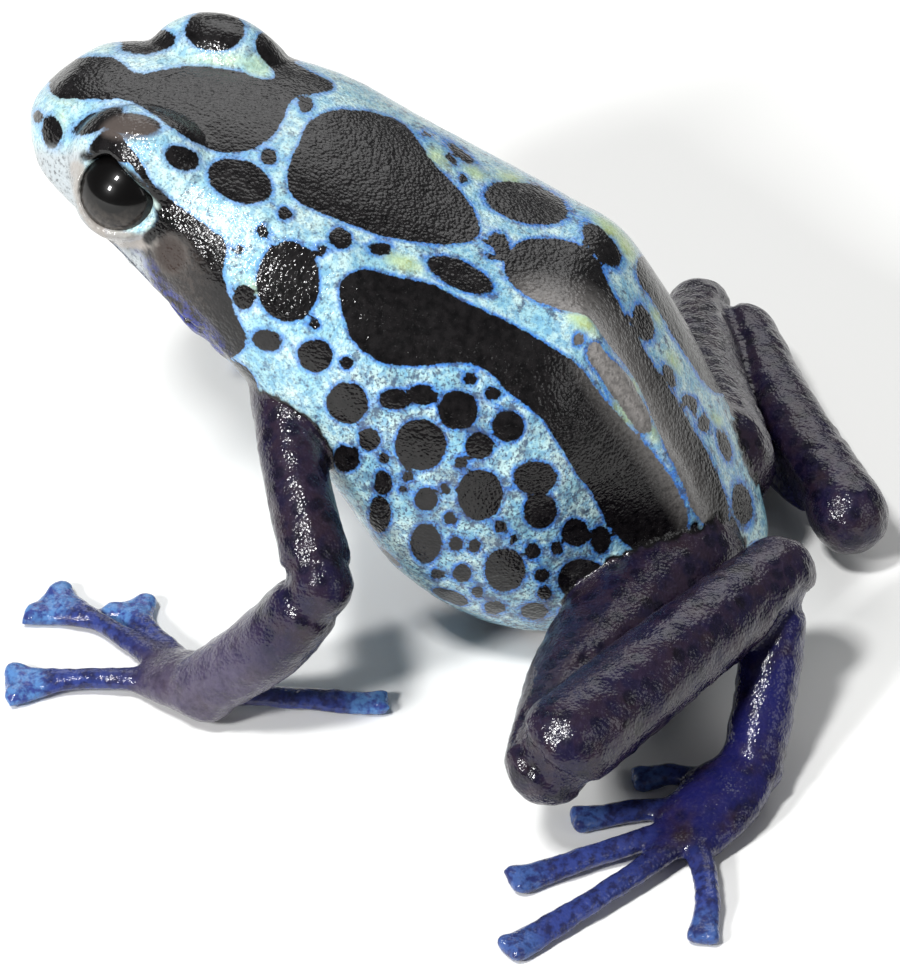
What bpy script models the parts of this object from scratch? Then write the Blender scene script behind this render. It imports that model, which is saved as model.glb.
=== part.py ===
"""A blue poison dart frog at life size, sitting still with its body resting on the floor.

Sizes are in millimetres and become metres where a mesh is made. The frog faces -Y, its left side
is +X, and Z is up from the floor. Head and trunk are one smooth form of cross sections along the
spine, parted by a thin cut at the neck. Limbs and digits are tubes of changing section round the
joints, each cut 0.3 mm clear of what it grows from. Nothing moves, because the animal is one body.
"""

import bmesh
import bpy
import numpy as np
from mathutils import Matrix, Vector

MM = 0.001  # the sizes below are millimetres, the meshes are in metres
GAP = 0.3  # between pieces that meet
MIDDLE = (3.530, 4.113)  # the middle of the frog's box, which becomes the origin on the floor
FAR = 60.0  # past every side of the frog
UP = (0.0, 0.0, 1.0)
SIDES = ((1, "left"), (-1, "right"))
BODY_COLOUR = (0.16, 0.34, 0.45)
LIMB_COLOUR = (0.03, 0.02, 0.045)
DIGIT_COLOUR = (0.03, 0.06, 0.30)
EYE_COLOUR = (0.012, 0.010, 0.010)
SKIN_ROUGHNESS = 0.35

for leftover in list(bpy.data.objects):
    bpy.data.objects.remove(leftover)
frog = bpy.data.collections.new("poison_dart_frog")
cutters = bpy.data.collections.new("cutters")
bpy.context.scene.collection.children.link(frog)
bpy.context.scene.collection.children.link(cutters)


def smooth(stations, values, places):
    """The values at the places, read from a smooth curve through the stations."""
    stations = np.asarray(stations, float)
    values = np.asarray(values, float)
    places = np.clip(places, stations[0], stations[-1])
    slopes = np.gradient(values, stations, axis=0)
    span = np.clip(np.searchsorted(stations, places) - 1, 0, len(stations) - 2)
    shape = (-1,) + (1,) * (values.ndim - 1)
    width = (stations[span + 1] - stations[span]).reshape(shape)
    t = (places - stations[span]).reshape(shape) / width
    near = (1 + 2 * t) * (1 - t) ** 2 * values[span] + t * (1 - t) ** 2 * width * slopes[span]
    far = t * t * (3 - 2 * t) * values[span + 1] - t * t * (1 - t) * width * slopes[span + 1]
    return near + far


def rounded_places(low, high, low_round, high_round, between, end_rings):
    """Ring places from low to high, closer together in the round ends, and each ring's scale."""
    quarter = np.linspace(0, np.pi / 2, end_rings + 1)[1:]
    first = low + low_round * (1 - np.cos(quarter))
    last = high - high_round * (1 - np.cos(quarter))[::-1]
    middle = np.linspace(first[-1], last[0], between + 2)[1:-1]
    scales = np.concatenate([np.sin(quarter), np.ones(between), np.sin(quarter)[::-1]])
    return np.concatenate([first, middle, last]), scales


def loft(rings, first_tip, last_tip):
    """A closed bmesh through the rings, with a point at each end."""
    bm = bmesh.new()
    rows = [[bm.verts.new(point) for point in ring] for ring in rings]
    sides = len(rows[0])
    for row, following in zip(rows, rows[1:]):
        for k in range(sides):
            bm.faces.new((row[k], row[(k + 1) % sides], following[(k + 1) % sides], following[k]))
    first = bm.verts.new(first_tip)
    last = bm.verts.new(last_tip)
    for k in range(sides):
        bm.faces.new((first, rows[0][(k + 1) % sides], rows[0][k]))
        bm.faces.new((last, rows[-1][k], rows[-1][(k + 1) % sides]))
    bmesh.ops.recalc_face_normals(bm, faces=bm.faces)
    return bm


def tube(points, widths, heights, grow=0.0, sides=12, between=7, end_rings=5):
    """A closed tube through the points, with a half width and a half height at each and round ends."""
    points = np.asarray(points, float)
    along = np.concatenate([[0], np.cumsum(np.linalg.norm(np.diff(points, axis=0), axis=1))])
    radii = np.stack([widths, heights], -1) + grow
    first_round, last_round = radii[0].min(), radii[-1].min()
    low, high = -first_round, along[-1] + last_round
    places, scales = rounded_places(low, high, first_round, last_round, between, end_rings)
    slopes = np.gradient(points, along, axis=0)
    first_way = slopes[0] / np.linalg.norm(slopes[0])
    last_way = slopes[-1] / np.linalg.norm(slopes[-1])
    centres = smooth(along, points, places)
    centres += np.outer(np.minimum(places, 0), first_way)
    centres += np.outer(np.maximum(places - along[-1], 0), last_way)
    sizes = smooth(along, radii, places) * scales[:, None]
    heading = np.gradient(centres, places, axis=0)
    across = np.cross(UP, heading)
    across /= np.linalg.norm(across, axis=1)[:, None]
    over = np.cross(heading, across)
    over /= np.linalg.norm(over, axis=1)[:, None]
    angle = np.linspace(0, 2 * np.pi, sides, endpoint=False)
    rings = [
        centre + np.outer(np.cos(angle) * size[0], side) + np.outer(np.sin(angle) * size[1], top)
        for centre, size, side, top in zip(centres, sizes, across, over)
    ]
    return loft(rings, points[0] - first_way * first_round, points[-1] + last_way * last_round)


def ball(centre, radii, turn=0.0, sides=20):
    """A closed ball with three radii, turned by some degrees about the upright axis."""
    bm = bmesh.new()
    bmesh.ops.create_uvsphere(bm, u_segments=sides, v_segments=sides * 2 // 3, radius=1.0)
    bmesh.ops.scale(bm, verts=bm.verts, vec=np.broadcast_to(radii, 3))
    bmesh.ops.rotate(bm, verts=bm.verts, matrix=Matrix.Rotation(np.radians(turn), 3, "Z"))
    bmesh.ops.translate(bm, verts=bm.verts, vec=centre)
    return bm


def box(low, high):
    """A closed box between two corners."""
    low, high = np.array(low, float), np.array(high, float)
    bm = bmesh.new()
    bmesh.ops.create_cube(bm, size=1.0)
    bmesh.ops.scale(bm, verts=bm.verts, vec=high - low)
    bmesh.ops.translate(bm, verts=bm.verts, vec=(low + high) / 2)
    return bm


def under_the_floor():
    """A closed box that fills the space below the floor."""
    return box((-FAR, -FAR, -FAR), (FAR, FAR, 0.0))


def make_object(name, bm, collection):
    """The bmesh as an object in metres, with the middle of the frog's box at the origin."""
    bmesh.ops.translate(bm, verts=bm.verts, vec=(-MIDDLE[0], -MIDDLE[1], 0.0))
    bmesh.ops.scale(bm, verts=bm.verts, vec=(MM, MM, MM))
    mesh = bpy.data.meshes.new(name)
    bm.to_mesh(mesh)
    bm.free()
    piece = bpy.data.objects.new(name, mesh)
    collection.objects.link(piece)
    if collection == cutters:
        piece.hide_render = True
        piece.display_type = "WIRE"
    return piece


def keep_largest(piece):
    """Keeps the largest closed surface of the piece."""
    bm = bmesh.new()
    bm.from_mesh(piece.data)
    left = set(bm.verts)
    groups = []
    while left:
        found = {left.pop()}
        edge_of = list(found)
        while edge_of:
            vert = edge_of.pop()
            near = {edge.other_vert(vert) for edge in vert.link_edges} - found
            found |= near
            edge_of.extend(near)
        left -= found
        groups.append(found)
    largest = max(groups, key=len)
    bmesh.ops.delete(bm, geom=[vert for vert in bm.verts if vert not in largest], context="VERTS")
    bm.to_mesh(piece.data)
    bm.free()


def combine(piece, shapes, operation):
    """Joins the shapes to the piece by UNION, or takes them from it by DIFFERENCE."""
    for shape in shapes:
        other = make_object("cutter", shape, cutters)
        modifier = piece.modifiers.new("combine", "BOOLEAN")
        modifier.operation = operation
        modifier.solver = "EXACT"
        modifier.object = other
        graph = bpy.context.evaluated_depsgraph_get()
        mesh = bpy.data.meshes.new_from_object(piece.evaluated_get(graph))
        piece.modifiers.clear()
        piece.data = mesh
        bpy.data.objects.remove(other)
    keep_largest(piece)


def finish(piece, colour, roughness):
    """A smooth-shaded piece with a material of its own."""
    material = bpy.data.materials.new(piece.name)
    material.use_nodes = True
    surface = material.node_tree.nodes["Principled BSDF"]
    surface.inputs["Base Color"].default_value = (*colour, 1.0)
    surface.inputs["Roughness"].default_value = roughness
    surface.inputs["Metallic"].default_value = 0.0
    piece.data.materials.clear()
    piece.data.materials.append(material)
    piece.data.shade_smooth()


# Head and trunk: 38 mm from snout to vent along the floor, 44 mm over the curve of the back.
# Each section: place along Y, middle X, turn in degrees, back height, belly height, half width,
# and the level of the widest point.
SPINE = np.array((
    (-17.5, -1.85, -8.3, 22.8, 19.9, 2.7, 21.3),
    (-15.0, -1.5, -8.3, 24.1, 18.8, 4.4, 21.0),
    (-11.0, -0.95, -8.3, 24.6, 16.5, 6.0, 20.3),
    (-7.5, -0.45, -8.3, 24.6, 15.0, 7.6, 19.5),
    (-4.0, -0.1, -5.0, 24.1, 12.5, 8.7, 18.0),
    (0.0, 0.15, 0.0, 22.8, 8.0, 9.7, 14.6),
    (4.0, 0.2, 1.0, 21.2, 2.7, 10.5, 11.2),
    (8.0, 0.15, 2.0, 19.8, 0.1, 10.2, 9.6),
    (11.5, 0.1, 2.0, 18.3, -0.3, 9.0, 8.6),
    (14.5, 0.0, 0.0, 15.0, -0.1, 7.1, 7.0),
    (17.5, 0.0, 0.0, 10.3, 1.2, 5.1, 5.6),
    (20.6, 0.0, 0.0, 6.3, 3.1, 2.7, 4.7),
))
SNOUT_ROUNDING = 2.4
VENT_ROUNDING = 3.2
BACK_SQUARENESS = 2.5  # 2 is an ellipse, more is squarer
BELLY_SQUARENESS = 2.3
BODY_RINGS = 30
BODY_END_RINGS = 5
BODY_SIDES = 32
NECK = -4.9  # where the head is parted from the trunk
HIP_RISE = (4.4, 11.6, 18.6)  # the left one of two soft rises over the hip bones
HIP_RISE_REACH = 2.6
HIP_RISE_HEIGHT = 0.7


def body(grow=0.0):
    """Head and trunk in one form, larger all round by grow."""
    first, last = SPINE[0, 0] - grow, SPINE[-1, 0] + grow
    places, scales = rounded_places(
        first, last, SNOUT_ROUNDING, VENT_ROUNDING, BODY_RINGS, BODY_END_RINGS
    )
    rows = smooth(SPINE[:, 0], SPINE[:, 1:], places)
    angle = np.linspace(0, 2 * np.pi, BODY_SIDES, endpoint=False)
    across, upward = np.cos(angle), np.sin(angle)
    power = 2 / np.where(upward > 0, BACK_SQUARENESS, BELLY_SQUARENESS)
    rings = []
    for y, scale, (x, turn, top, bottom, half, level) in zip(places, scales, rows):
        side = scale * (half + grow) * np.sign(across) * np.abs(across) ** power
        reach = np.where(upward > 0, top - level, level - bottom) + grow
        rise = scale * reach * np.sign(upward) * np.abs(upward) ** power
        turn = np.radians(turn)
        ring = np.stack([x + side * np.cos(turn), y + side * np.sin(turn), level + rise], -1)
        for hand in (1, -1):
            away = np.sum((ring - np.multiply(HIP_RISE, (hand, 1, 1))) ** 2, axis=1)
            ring[:, 2] += HIP_RISE_HEIGHT * np.exp(-away / HIP_RISE_REACH**2)
        rings.append(ring)
    tips = [(row[0], y, row[5]) for row, y in zip(rows[[0, -1]], (first, last))]
    return loft(rings, *tips)


# Features of the head, in its own frame: X to its left, Y rearwards and Z up from the snout.
SNOUT = (-1.87, -17.82, 20.6)
HEAD_TURN = -8.35
EYE = (5.4, 7.5, 1.25)
EYE_RADIUS = 2.15
EYE_SIDES = 16
EYE_ROUGHNESS = 0.05
EYE_REARWARD = 8.0  # degrees that the lids' opening turns back from straight sideways
EYE_UPWARD = 30.0
ORBIT = (4.2, 8.0, 1.75)  # the raised skin round the eye
ORBIT_RADII = (2.8, 3.8, 3.3)
ORBIT_SIDES = 18
LID_OPENING = 1.9
UPPER_LID_TURN = 56.0  # degrees from straight rearwards to the way that the upper lid faces
UPPER_LID_PLACE = 1.2  # from the opening's middle to the upper lid, which is straight
LID_COVER = 2.9  # radius of the skin that wraps the eye
LID_RADII = (0.28, 0.36)  # of the lids' rim, above and below the eye
LID_STATIONS = 24
LID_SIDES = 8
NOSTRIL = (2.53, 1.33, 0.25)
NOSTRIL_RADIUS = 0.27
EARDRUM = (7.6, 11.23, 0.16)
EARDRUM_REARWARD = -13.0
EARDRUM_UPWARD = 19.0
EARDRUM_HOLLOW = 2.0  # radius of the ball that hollows the eardrum, 1.15 in radius itself
EARDRUM_STAND = 1.64  # from the skin out to that ball's centre
EARDRUM_SIDES = 30
MOUTH_PLACES = (-17.0, -15.0, -11.0, -7.5, -5.9)
MOUTH_LEVELS = (20.3, 19.6, 18.5, 17.6, 17.1)
LOWEST_MOUTH = 0.9  # of the way down from the snout's widest level to its underside
MOUTH_FRONT = 0.45  # from the snout's tip back to the front of the mouth
MOUTH_RADIUS = 0.2
LIP_RISE = 0.42  # the upper lip's middle above the mouth line
LIP_RADIUS = 0.45
LIP_SINK = 0.35


def head_point(across, back, rise):
    """A point of the head's own frame, in the frog's frame."""
    turn = np.radians(HEAD_TURN)
    x = SNOUT[0] + across * np.cos(turn) - back * np.sin(turn)
    y = SNOUT[1] + across * np.sin(turn) + back * np.cos(turn)
    return np.array((x, y, SNOUT[2] + rise))


def head_way(hand, rearward, upward=0.0):
    """The direction out to one side of the head, turned rearward and upward by some degrees."""
    turn, lift = np.radians(HEAD_TURN + hand * rearward), np.radians(upward)
    level = hand * np.array((np.cos(turn), np.sin(turn), 0.0))
    return level * np.cos(lift) + np.array(UP) * np.sin(lift)


def peg(centre, way, radius, length, sides=20):
    """A closed round peg that starts at the centre and points along the way."""
    bm = bmesh.new()
    bmesh.ops.create_cone(
        bm, cap_ends=True, segments=sides, radius1=radius, radius2=radius, depth=length
    )
    turned = Vector(way).to_track_quat("Z", "Y").to_matrix()
    bmesh.ops.translate(bm, verts=bm.verts, vec=(0.0, 0.0, length / 2))
    bmesh.ops.rotate(bm, verts=bm.verts, matrix=turned)
    bmesh.ops.translate(bm, verts=bm.verts, vec=centre)
    return bm


def lid_axes(hand, way):
    """Rearwards and upwards across the eye's opening, and the way that its upper lid faces."""
    rearward = hand * np.cross(UP, way)
    rearward /= np.linalg.norm(rearward)
    upward = hand * np.cross(way, rearward)
    turn = np.radians(UPPER_LID_TURN)
    return rearward, upward, rearward * np.cos(turn) + upward * np.sin(turn)


def eye_opening(eye, hand, way):
    """A closed peg from the eye outwards, round but for a flat side at the upper lid."""
    bm = peg((0.0, 0.0, 0.0), way, LID_OPENING, 2 * EYE_RADIUS)
    lid_way = lid_axes(hand, way)[2]
    for vert in bm.verts:
        beyond = max(0.0, float(np.dot(vert.co, lid_way)) - UPPER_LID_PLACE)
        vert.co -= Vector(lid_way * beyond)
    bmesh.ops.translate(bm, verts=bm.verts, vec=eye)
    return bm


def lids(eye, hand, way):
    """A closed ring round the opening, with a straight upper lid and a fuller lower one."""
    rearward, upward, lid_way = lid_axes(hand, way)
    bm = bmesh.new()
    rings = []
    for turn in np.linspace(0, 2 * np.pi, LID_STATIONS, endpoint=False):
        outward = np.cos(turn) * rearward + np.sin(turn) * upward
        reach = LID_OPENING
        if outward @ lid_way > 0:
            reach = min(LID_OPENING, UPPER_LID_PLACE / (outward @ lid_way))
        radius = np.interp(np.sin(turn), (-1, 1), LID_RADII[::-1])
        out = np.arcsin(reach / EYE_RADIUS)
        stand = EYE_RADIUS + GAP + radius
        middle = way * np.cos(out) + outward * np.sin(out)
        over = outward * np.cos(out) - way * np.sin(out)
        angle = np.linspace(0, 2 * np.pi, LID_SIDES, endpoint=False)
        ring = np.outer(np.cos(angle), middle) + np.outer(np.sin(angle), over)
        rings.append([bm.verts.new(point) for point in eye + middle * stand + radius * ring])
    for ring, following in zip(rings, rings[1:] + rings[:1]):
        for k in range(LID_SIDES):
            beyond = (k + 1) % LID_SIDES
            bm.faces.new((ring[k], ring[beyond], following[beyond], following[k]))
    bmesh.ops.recalc_face_normals(bm, faces=bm.faces)
    return bm


def jaw_line(rise, sink):
    """Points from one corner of the mouth round the snout to the other, risen and sunk into the skin."""
    steps = np.linspace(0, 1, 9)[1:]
    low, high = SPINE[0, 0], MOUTH_PLACES[-1]
    places = low + MOUTH_FRONT + (high - low - MOUTH_FRONT) * steps**2
    rows = smooth(SPINE[:, 0], SPINE[:, 1:], places)
    near = np.clip(1 - (places - low) / SNOUT_ROUNDING, 0, 1)
    scale = np.sqrt(1 - near**2)
    levels = smooth(MOUTH_PLACES, MOUTH_LEVELS, places) + rise
    x, turn, _, bottom, half, level = rows.T
    reach = level - bottom
    drop = np.clip((level - levels) / (scale * reach), 0, LOWEST_MOUTH)
    levels = level - drop * scale * reach
    side = scale * half * (1 - drop**BELLY_SQUARENESS) ** (1 / BELLY_SQUARENESS) - sink
    turn = np.radians(turn)
    left = np.stack([x + side * np.cos(turn), places + side * np.sin(turn), levels], -1)
    right = np.stack([x - side * np.cos(turn), places - side * np.sin(turn), levels], -1)
    in_front = SNOUT_ROUNDING * (1 - np.sqrt(1 - ((level[0] - levels[0]) / reach[0]) ** 2))
    front = (x[0], low + in_front + sink, levels[0])
    return np.concatenate([left[::-1], [front], right])


def wire(points, radius):
    """A closed wire of one radius along the points."""
    count = len(points)
    radii = [radius] * count
    return tube(points, radii, radii, sides=6, between=2 * count, end_rings=2)


def make_head_and_torso():
    """The whole form with its orbits, lips and openings, parted at the neck."""
    torso = make_object("torso", body(), frog)
    combine(torso, [under_the_floor(), box((-FAR, -FAR, -FAR), (FAR, NECK + GAP, FAR))], "DIFFERENCE")
    head = make_object("head", body(), frog)
    combine(head, [box((-FAR, NECK, -FAR), (FAR, FAR, FAR))], "DIFFERENCE")
    orbits = [
        ball(head_point(hand * ORBIT[0], *ORBIT[1:]), ORBIT_RADII, HEAD_TURN, ORBIT_SIDES)
        for hand, _ in SIDES
    ]
    covers = [ball(head_point(hand * EYE[0], *EYE[1:]), LID_COVER) for hand, _ in SIDES]
    lips = wire(jaw_line(LIP_RISE, LIP_SINK), LIP_RADIUS)
    combine(head, orbits + covers + [lips], "UNION")
    holes, rims = [wire(jaw_line(0.0, 0.0), MOUTH_RADIUS)], []
    for hand, side in SIDES:
        eye = head_point(hand * EYE[0], *EYE[1:])
        way = head_way(hand, EYE_REARWARD, EYE_UPWARD)
        holes.append(eye_opening(eye, hand, way))
        rims.append(lids(eye, hand, way))
        holes.append(ball(eye, EYE_RADIUS + GAP, sides=EYE_SIDES))
        holes.append(ball(head_point(hand * NOSTRIL[0], *NOSTRIL[1:]), NOSTRIL_RADIUS, sides=9))
        eardrum = head_point(hand * EARDRUM[0], *EARDRUM[1:])
        outside = eardrum + head_way(hand, EARDRUM_REARWARD, EARDRUM_UPWARD) * EARDRUM_STAND
        holes.append(ball(outside, EARDRUM_HOLLOW, sides=EARDRUM_SIDES))
        eyeball = make_object("eye_" + side, ball(eye, EYE_RADIUS, sides=EYE_SIDES), frog)
        finish(eyeball, EYE_COLOUR, EYE_ROUGHNESS)
    combine(head, holes, "DIFFERENCE")
    combine(head, rims, "UNION")
    finish(head, BODY_COLOUR, SKIN_ROUGHNESS)
    finish(torso, BODY_COLOUR, SKIN_ROUGHNESS)


# Limbs. A segment's points run along its middle, from one joint's centre to the next, and each has
# a half width and a half height.
ELBOW_LEFT = (15.5, 2.1, 9.5)
WRIST_LEFT = (15.7, -3.6, 1.8)
KNEE_LEFT = (19.6, 15.2, 6.9)
HEEL_LEFT = (5.6, 22.0, 7.3)
ANKLE_LEFT = (12.7, 22.9, 1.75)
ELBOW_RIGHT = (-14.3, 3.4, 8.8)
WRIST_RIGHT = (-13.6, 1.5, 1.8)
KNEE_RIGHT = (-17.5, 15.6, 2.9)
HEEL_RIGHT = (-5.2, 23.8, 3.0)
ANKLE_RIGHT = (-12.2, 17.4, 1.6)
SEGMENTS = {
    "upper_arm_left": (
        ((6.7, -2.4, 14.2), (11.2, -0.5, 12.2), ELBOW_LEFT), (1.8, 1.6, 1.75), (1.8, 1.6, 1.75),
    ),
    "forearm_left": ((ELBOW_LEFT, (15.8, -0.4, 5.4), WRIST_LEFT), (1.7, 1.9, 1.7), (1.7, 1.8, 1.6)),
    "thigh_left": (
        ((3.5, 17.0, 5.2), (12.0, 14.9, 4.8), (19.9, 14.5, 5.8)), (3.2, 3.0, 2.2), (3.2, 3.0, 2.2),
    ),
    "shank_left": ((KNEE_LEFT, (13.4, 18.5, 7.6), HEEL_LEFT), (2.4, 2.2, 1.95), (2.4, 2.2, 2.0)),
    "tarsus_left": ((HEEL_LEFT, (9.2, 22.7, 4.2), ANKLE_LEFT), (1.6, 1.55, 1.5), (1.6, 1.55, 1.4)),
    "upper_arm_right": (
        ((-6.5, -2.1, 14.2), (-10.7, 0.2, 12.0), ELBOW_RIGHT), (1.8, 1.6, 1.75), (1.8, 1.6, 1.75),
    ),
    "forearm_right": (
        (ELBOW_RIGHT, (-14.1, 2.6, 5.2), WRIST_RIGHT), (1.7, 1.8, 1.6), (1.7, 1.75, 1.5),
    ),
    "thigh_right": (
        ((-3.5, 17.0, 6.0), (-11.0, 14.7, 4.4), (-19.0, 13.0, 2.8)), (3.1, 2.5, 1.8), (3.1, 2.5, 1.8),
    ),
    "shank_right": (
        (KNEE_RIGHT, (-11.1, 19.5, 3.1), HEEL_RIGHT), (1.85, 1.85, 2.0), (1.85, 1.85, 2.0),
    ),
    "tarsus_right": ((HEEL_RIGHT, (-8.6, 20.6, 2.2), ANKLE_RIGHT), (1.5, 1.5, 1.4), (1.5, 1.5, 1.3)),
}

# Hands and feet. X and Y run from the left wrist or ankle, Z from the floor. The right ones are
# mirrored, then turned by some degrees and set at their own wrist or ankle.
PALM = (((0.2, 0.5, 1.7), (-0.8, -1.2, 1.35), (-1.5, -2.7, 0.75)), (1.55, 1.9, 1.7), (1.4, 1.2, 0.8))
SOLE = (((0.2, 0.1, 1.6), (2.8, -1.1, 1.25), (5.4, -2.1, 0.75)), (1.5, 2.1, 1.75), (1.3, 1.1, 0.8))
# Each digit: three points from its root to its tip, and the half width of the disc at its tip.
FINGERS = (
    (((-0.6, 0.6, 1.1), (-1.7, 4.0, 0.75), (-3.1, 8.3, 0.48)), 0.8),
    (((-2.0, -1.2, 1.0), (-4.3, -3.9, 0.75), (-6.2, -5.5, 0.48)), 1.7),
    (((-1.8, -2.0, 1.0), (-4.1, -6.2, 0.75), (-5.2, -9.5, 0.48)), 2.1),
    (((-0.9, -2.0, 1.0), (0.0, -5.8, 0.75), (1.1, -9.2, 0.48)), 1.65),
)
TOES = (
    (((1.5, -1.6, 1.0), (1.0, -3.5, 0.8), (1.5, -5.2, 0.48)), 0.85),
    (((3.4, -2.0, 1.0), (3.9, -4.6, 0.7), (5.1, -7.3, 0.48)), 0.9),
    (((4.6, -2.2, 1.0), (7.2, -5.5, 0.7), (10.1, -9.1, 0.48)), 0.95),
    (((5.4, -2.1, 1.0), (9.7, -4.5, 0.9), (14.6, -8.2, 0.48)), 0.95),
    (((5.2, -1.6, 1.0), (8.6, -0.2, 0.75), (11.2, 0.2, 0.48)), 0.9),
)
DIGIT_STATIONS = (0.0, 0.3, 0.62, 0.84, 1.0)  # shares of a digit's length
DIGIT_WIDTH = 0.66
ROOT_WIDENING = 1.2
DIGIT_HEIGHT = 0.5
FAN_START = 0.5  # the share of the disc's spread reached where the digit begins to fan out
HAND_TURN_RIGHT = -20.0
FOOT_TURN_RIGHT = 45.0


def digit(points, disc, grow=0.0):
    """A finger or toe: slender, then spreading into the flat disc at its tip."""
    route = smooth((0.0, 0.5, 1.0), points, DIGIT_STATIONS)
    fan = DIGIT_WIDTH + FAN_START * (disc - DIGIT_WIDTH)
    widths = (DIGIT_WIDTH * ROOT_WIDENING, DIGIT_WIDTH, DIGIT_WIDTH, fan, disc)
    heights = (DIGIT_HEIGHT * ROOT_WIDENING, *[DIGIT_HEIGHT] * 4)
    return tube(route, widths, heights, grow, sides=8, between=7, end_rings=3)


def set_down(points, side, left_joint, right_joint, right_turn):
    """Points of the left hand's or foot's frame, in the frog's frame, on the left or the right."""
    points = np.array(points, float)
    if side == "left":
        return points + (left_joint[0], left_joint[1], 0.0)
    turn = np.radians(right_turn)
    x, y = -points[:, 0], points[:, 1]
    across = x * np.cos(turn) - y * np.sin(turn) + right_joint[0]
    back = x * np.sin(turn) + y * np.cos(turn) + right_joint[1]
    return np.stack([across, back, points[:, 2]], -1)


def shape_of(name, grow=0.0):
    """The uncut shape of a limb's node, larger all round by grow."""
    if name in SEGMENTS:
        return tube(*SEGMENTS[name], grow)
    part, side = name.rsplit("_", 1)
    if part in ("hand", "foot"):
        points, widths, heights = PALM if part == "hand" else SOLE
        return tube(place(part, points, side), widths, heights, grow)
    kind, number = part.split("_")
    points, disc = (FINGERS if kind == "finger" else TOES)[int(number) - 1]
    return digit(place("hand" if kind == "finger" else "foot", points, side), disc, grow)


def place(part, points, side):
    """Points of a hand or foot, at its own wrist or ankle."""
    if part == "hand":
        return set_down(points, side, WRIST_LEFT, WRIST_RIGHT, HAND_TURN_RIGHT)
    return set_down(points, side, ANKLE_LEFT, ANKLE_RIGHT, FOOT_TURN_RIGHT)


def make_limb_node(name, neighbours, colour):
    """A node cut clear of the floor and of the neighbours, which keep their own shape."""
    piece = make_object(name, shape_of(name), frog)
    clear = [body(GAP) if other == "body" else shape_of(other, GAP) for other in neighbours]
    combine(piece, [under_the_floor(), *clear], "DIFFERENCE")
    finish(piece, colour, SKIN_ROUGHNESS)


def make_limbs(side):
    """The arm and leg of one side, each node cut clear of what it grows from."""

    def named(part):
        return f"{part}_{side}"

    make_limb_node(named("forearm"), [], LIMB_COLOUR)
    make_limb_node(named("upper_arm"), ["body", named("forearm")], LIMB_COLOUR)
    make_limb_node(named("hand"), [named("forearm")], LIMB_COLOUR)
    make_limb_node(named("shank"), ["body"], LIMB_COLOUR)
    make_limb_node(named("thigh"), ["body", named("shank")], LIMB_COLOUR)
    make_limb_node(named("tarsus"), ["body", named("shank"), named("thigh")], LIMB_COLOUR)
    make_limb_node(named("foot"), [named("tarsus"), named("thigh"), named("shank")], LIMB_COLOUR)
    roots = {"finger": ["hand", "forearm"], "toe": ["foot", "tarsus", "thigh", "shank"]}
    for kind, digits in (("finger", FINGERS), ("toe", TOES)):
        for number in range(1, len(digits) + 1):
            neighbours = [named(root) for root in roots[kind]]
            if number > 1:
                neighbours.append(named(f"{kind}_{number - 1}"))
            make_limb_node(named(f"{kind}_{number}"), neighbours, DIGIT_COLOUR)


make_head_and_torso()
for _, side in SIDES:
    make_limbs(side)
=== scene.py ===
"""The looks of a blue poison dart frog at life size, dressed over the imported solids.

Sizes are in millimetres in the frog's own frame, as in the part's source: it faces -Y, its left
side is +X, and Z is up from the floor. The shapes of flesh are made again here, finer, and grown
together into one skin, so that no seam shows. The markings are laid on that skin where the
photograph's view sees them, and are carried over to the side that it doesn't see. Two wet eyes
are set under the lids, and a plain floor, lights and the camera finish the scene.
"""

import bmesh
import bpy
import numpy as np
from mathutils import Matrix, Vector, kdtree, noise


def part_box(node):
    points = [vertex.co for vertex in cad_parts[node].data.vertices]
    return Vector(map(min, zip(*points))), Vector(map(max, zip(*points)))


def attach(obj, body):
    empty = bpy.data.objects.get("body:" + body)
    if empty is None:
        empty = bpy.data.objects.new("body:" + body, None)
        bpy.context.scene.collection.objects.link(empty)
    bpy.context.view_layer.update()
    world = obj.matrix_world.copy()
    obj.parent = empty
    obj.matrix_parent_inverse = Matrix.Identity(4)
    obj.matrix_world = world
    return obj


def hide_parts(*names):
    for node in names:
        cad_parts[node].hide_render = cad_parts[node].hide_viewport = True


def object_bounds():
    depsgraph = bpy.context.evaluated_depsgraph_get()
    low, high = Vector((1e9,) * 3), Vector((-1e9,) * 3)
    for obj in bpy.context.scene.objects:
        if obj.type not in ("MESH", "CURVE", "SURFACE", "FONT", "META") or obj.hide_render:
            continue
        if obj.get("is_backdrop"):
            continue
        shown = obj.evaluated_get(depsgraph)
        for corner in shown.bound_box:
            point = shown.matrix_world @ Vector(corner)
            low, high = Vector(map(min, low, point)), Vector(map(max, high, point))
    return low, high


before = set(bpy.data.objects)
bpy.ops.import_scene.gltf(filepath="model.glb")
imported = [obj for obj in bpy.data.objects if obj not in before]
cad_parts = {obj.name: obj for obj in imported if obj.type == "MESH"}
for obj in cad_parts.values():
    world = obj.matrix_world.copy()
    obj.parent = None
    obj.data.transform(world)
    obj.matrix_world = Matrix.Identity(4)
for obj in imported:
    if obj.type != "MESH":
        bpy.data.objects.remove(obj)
cad_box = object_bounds()

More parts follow.
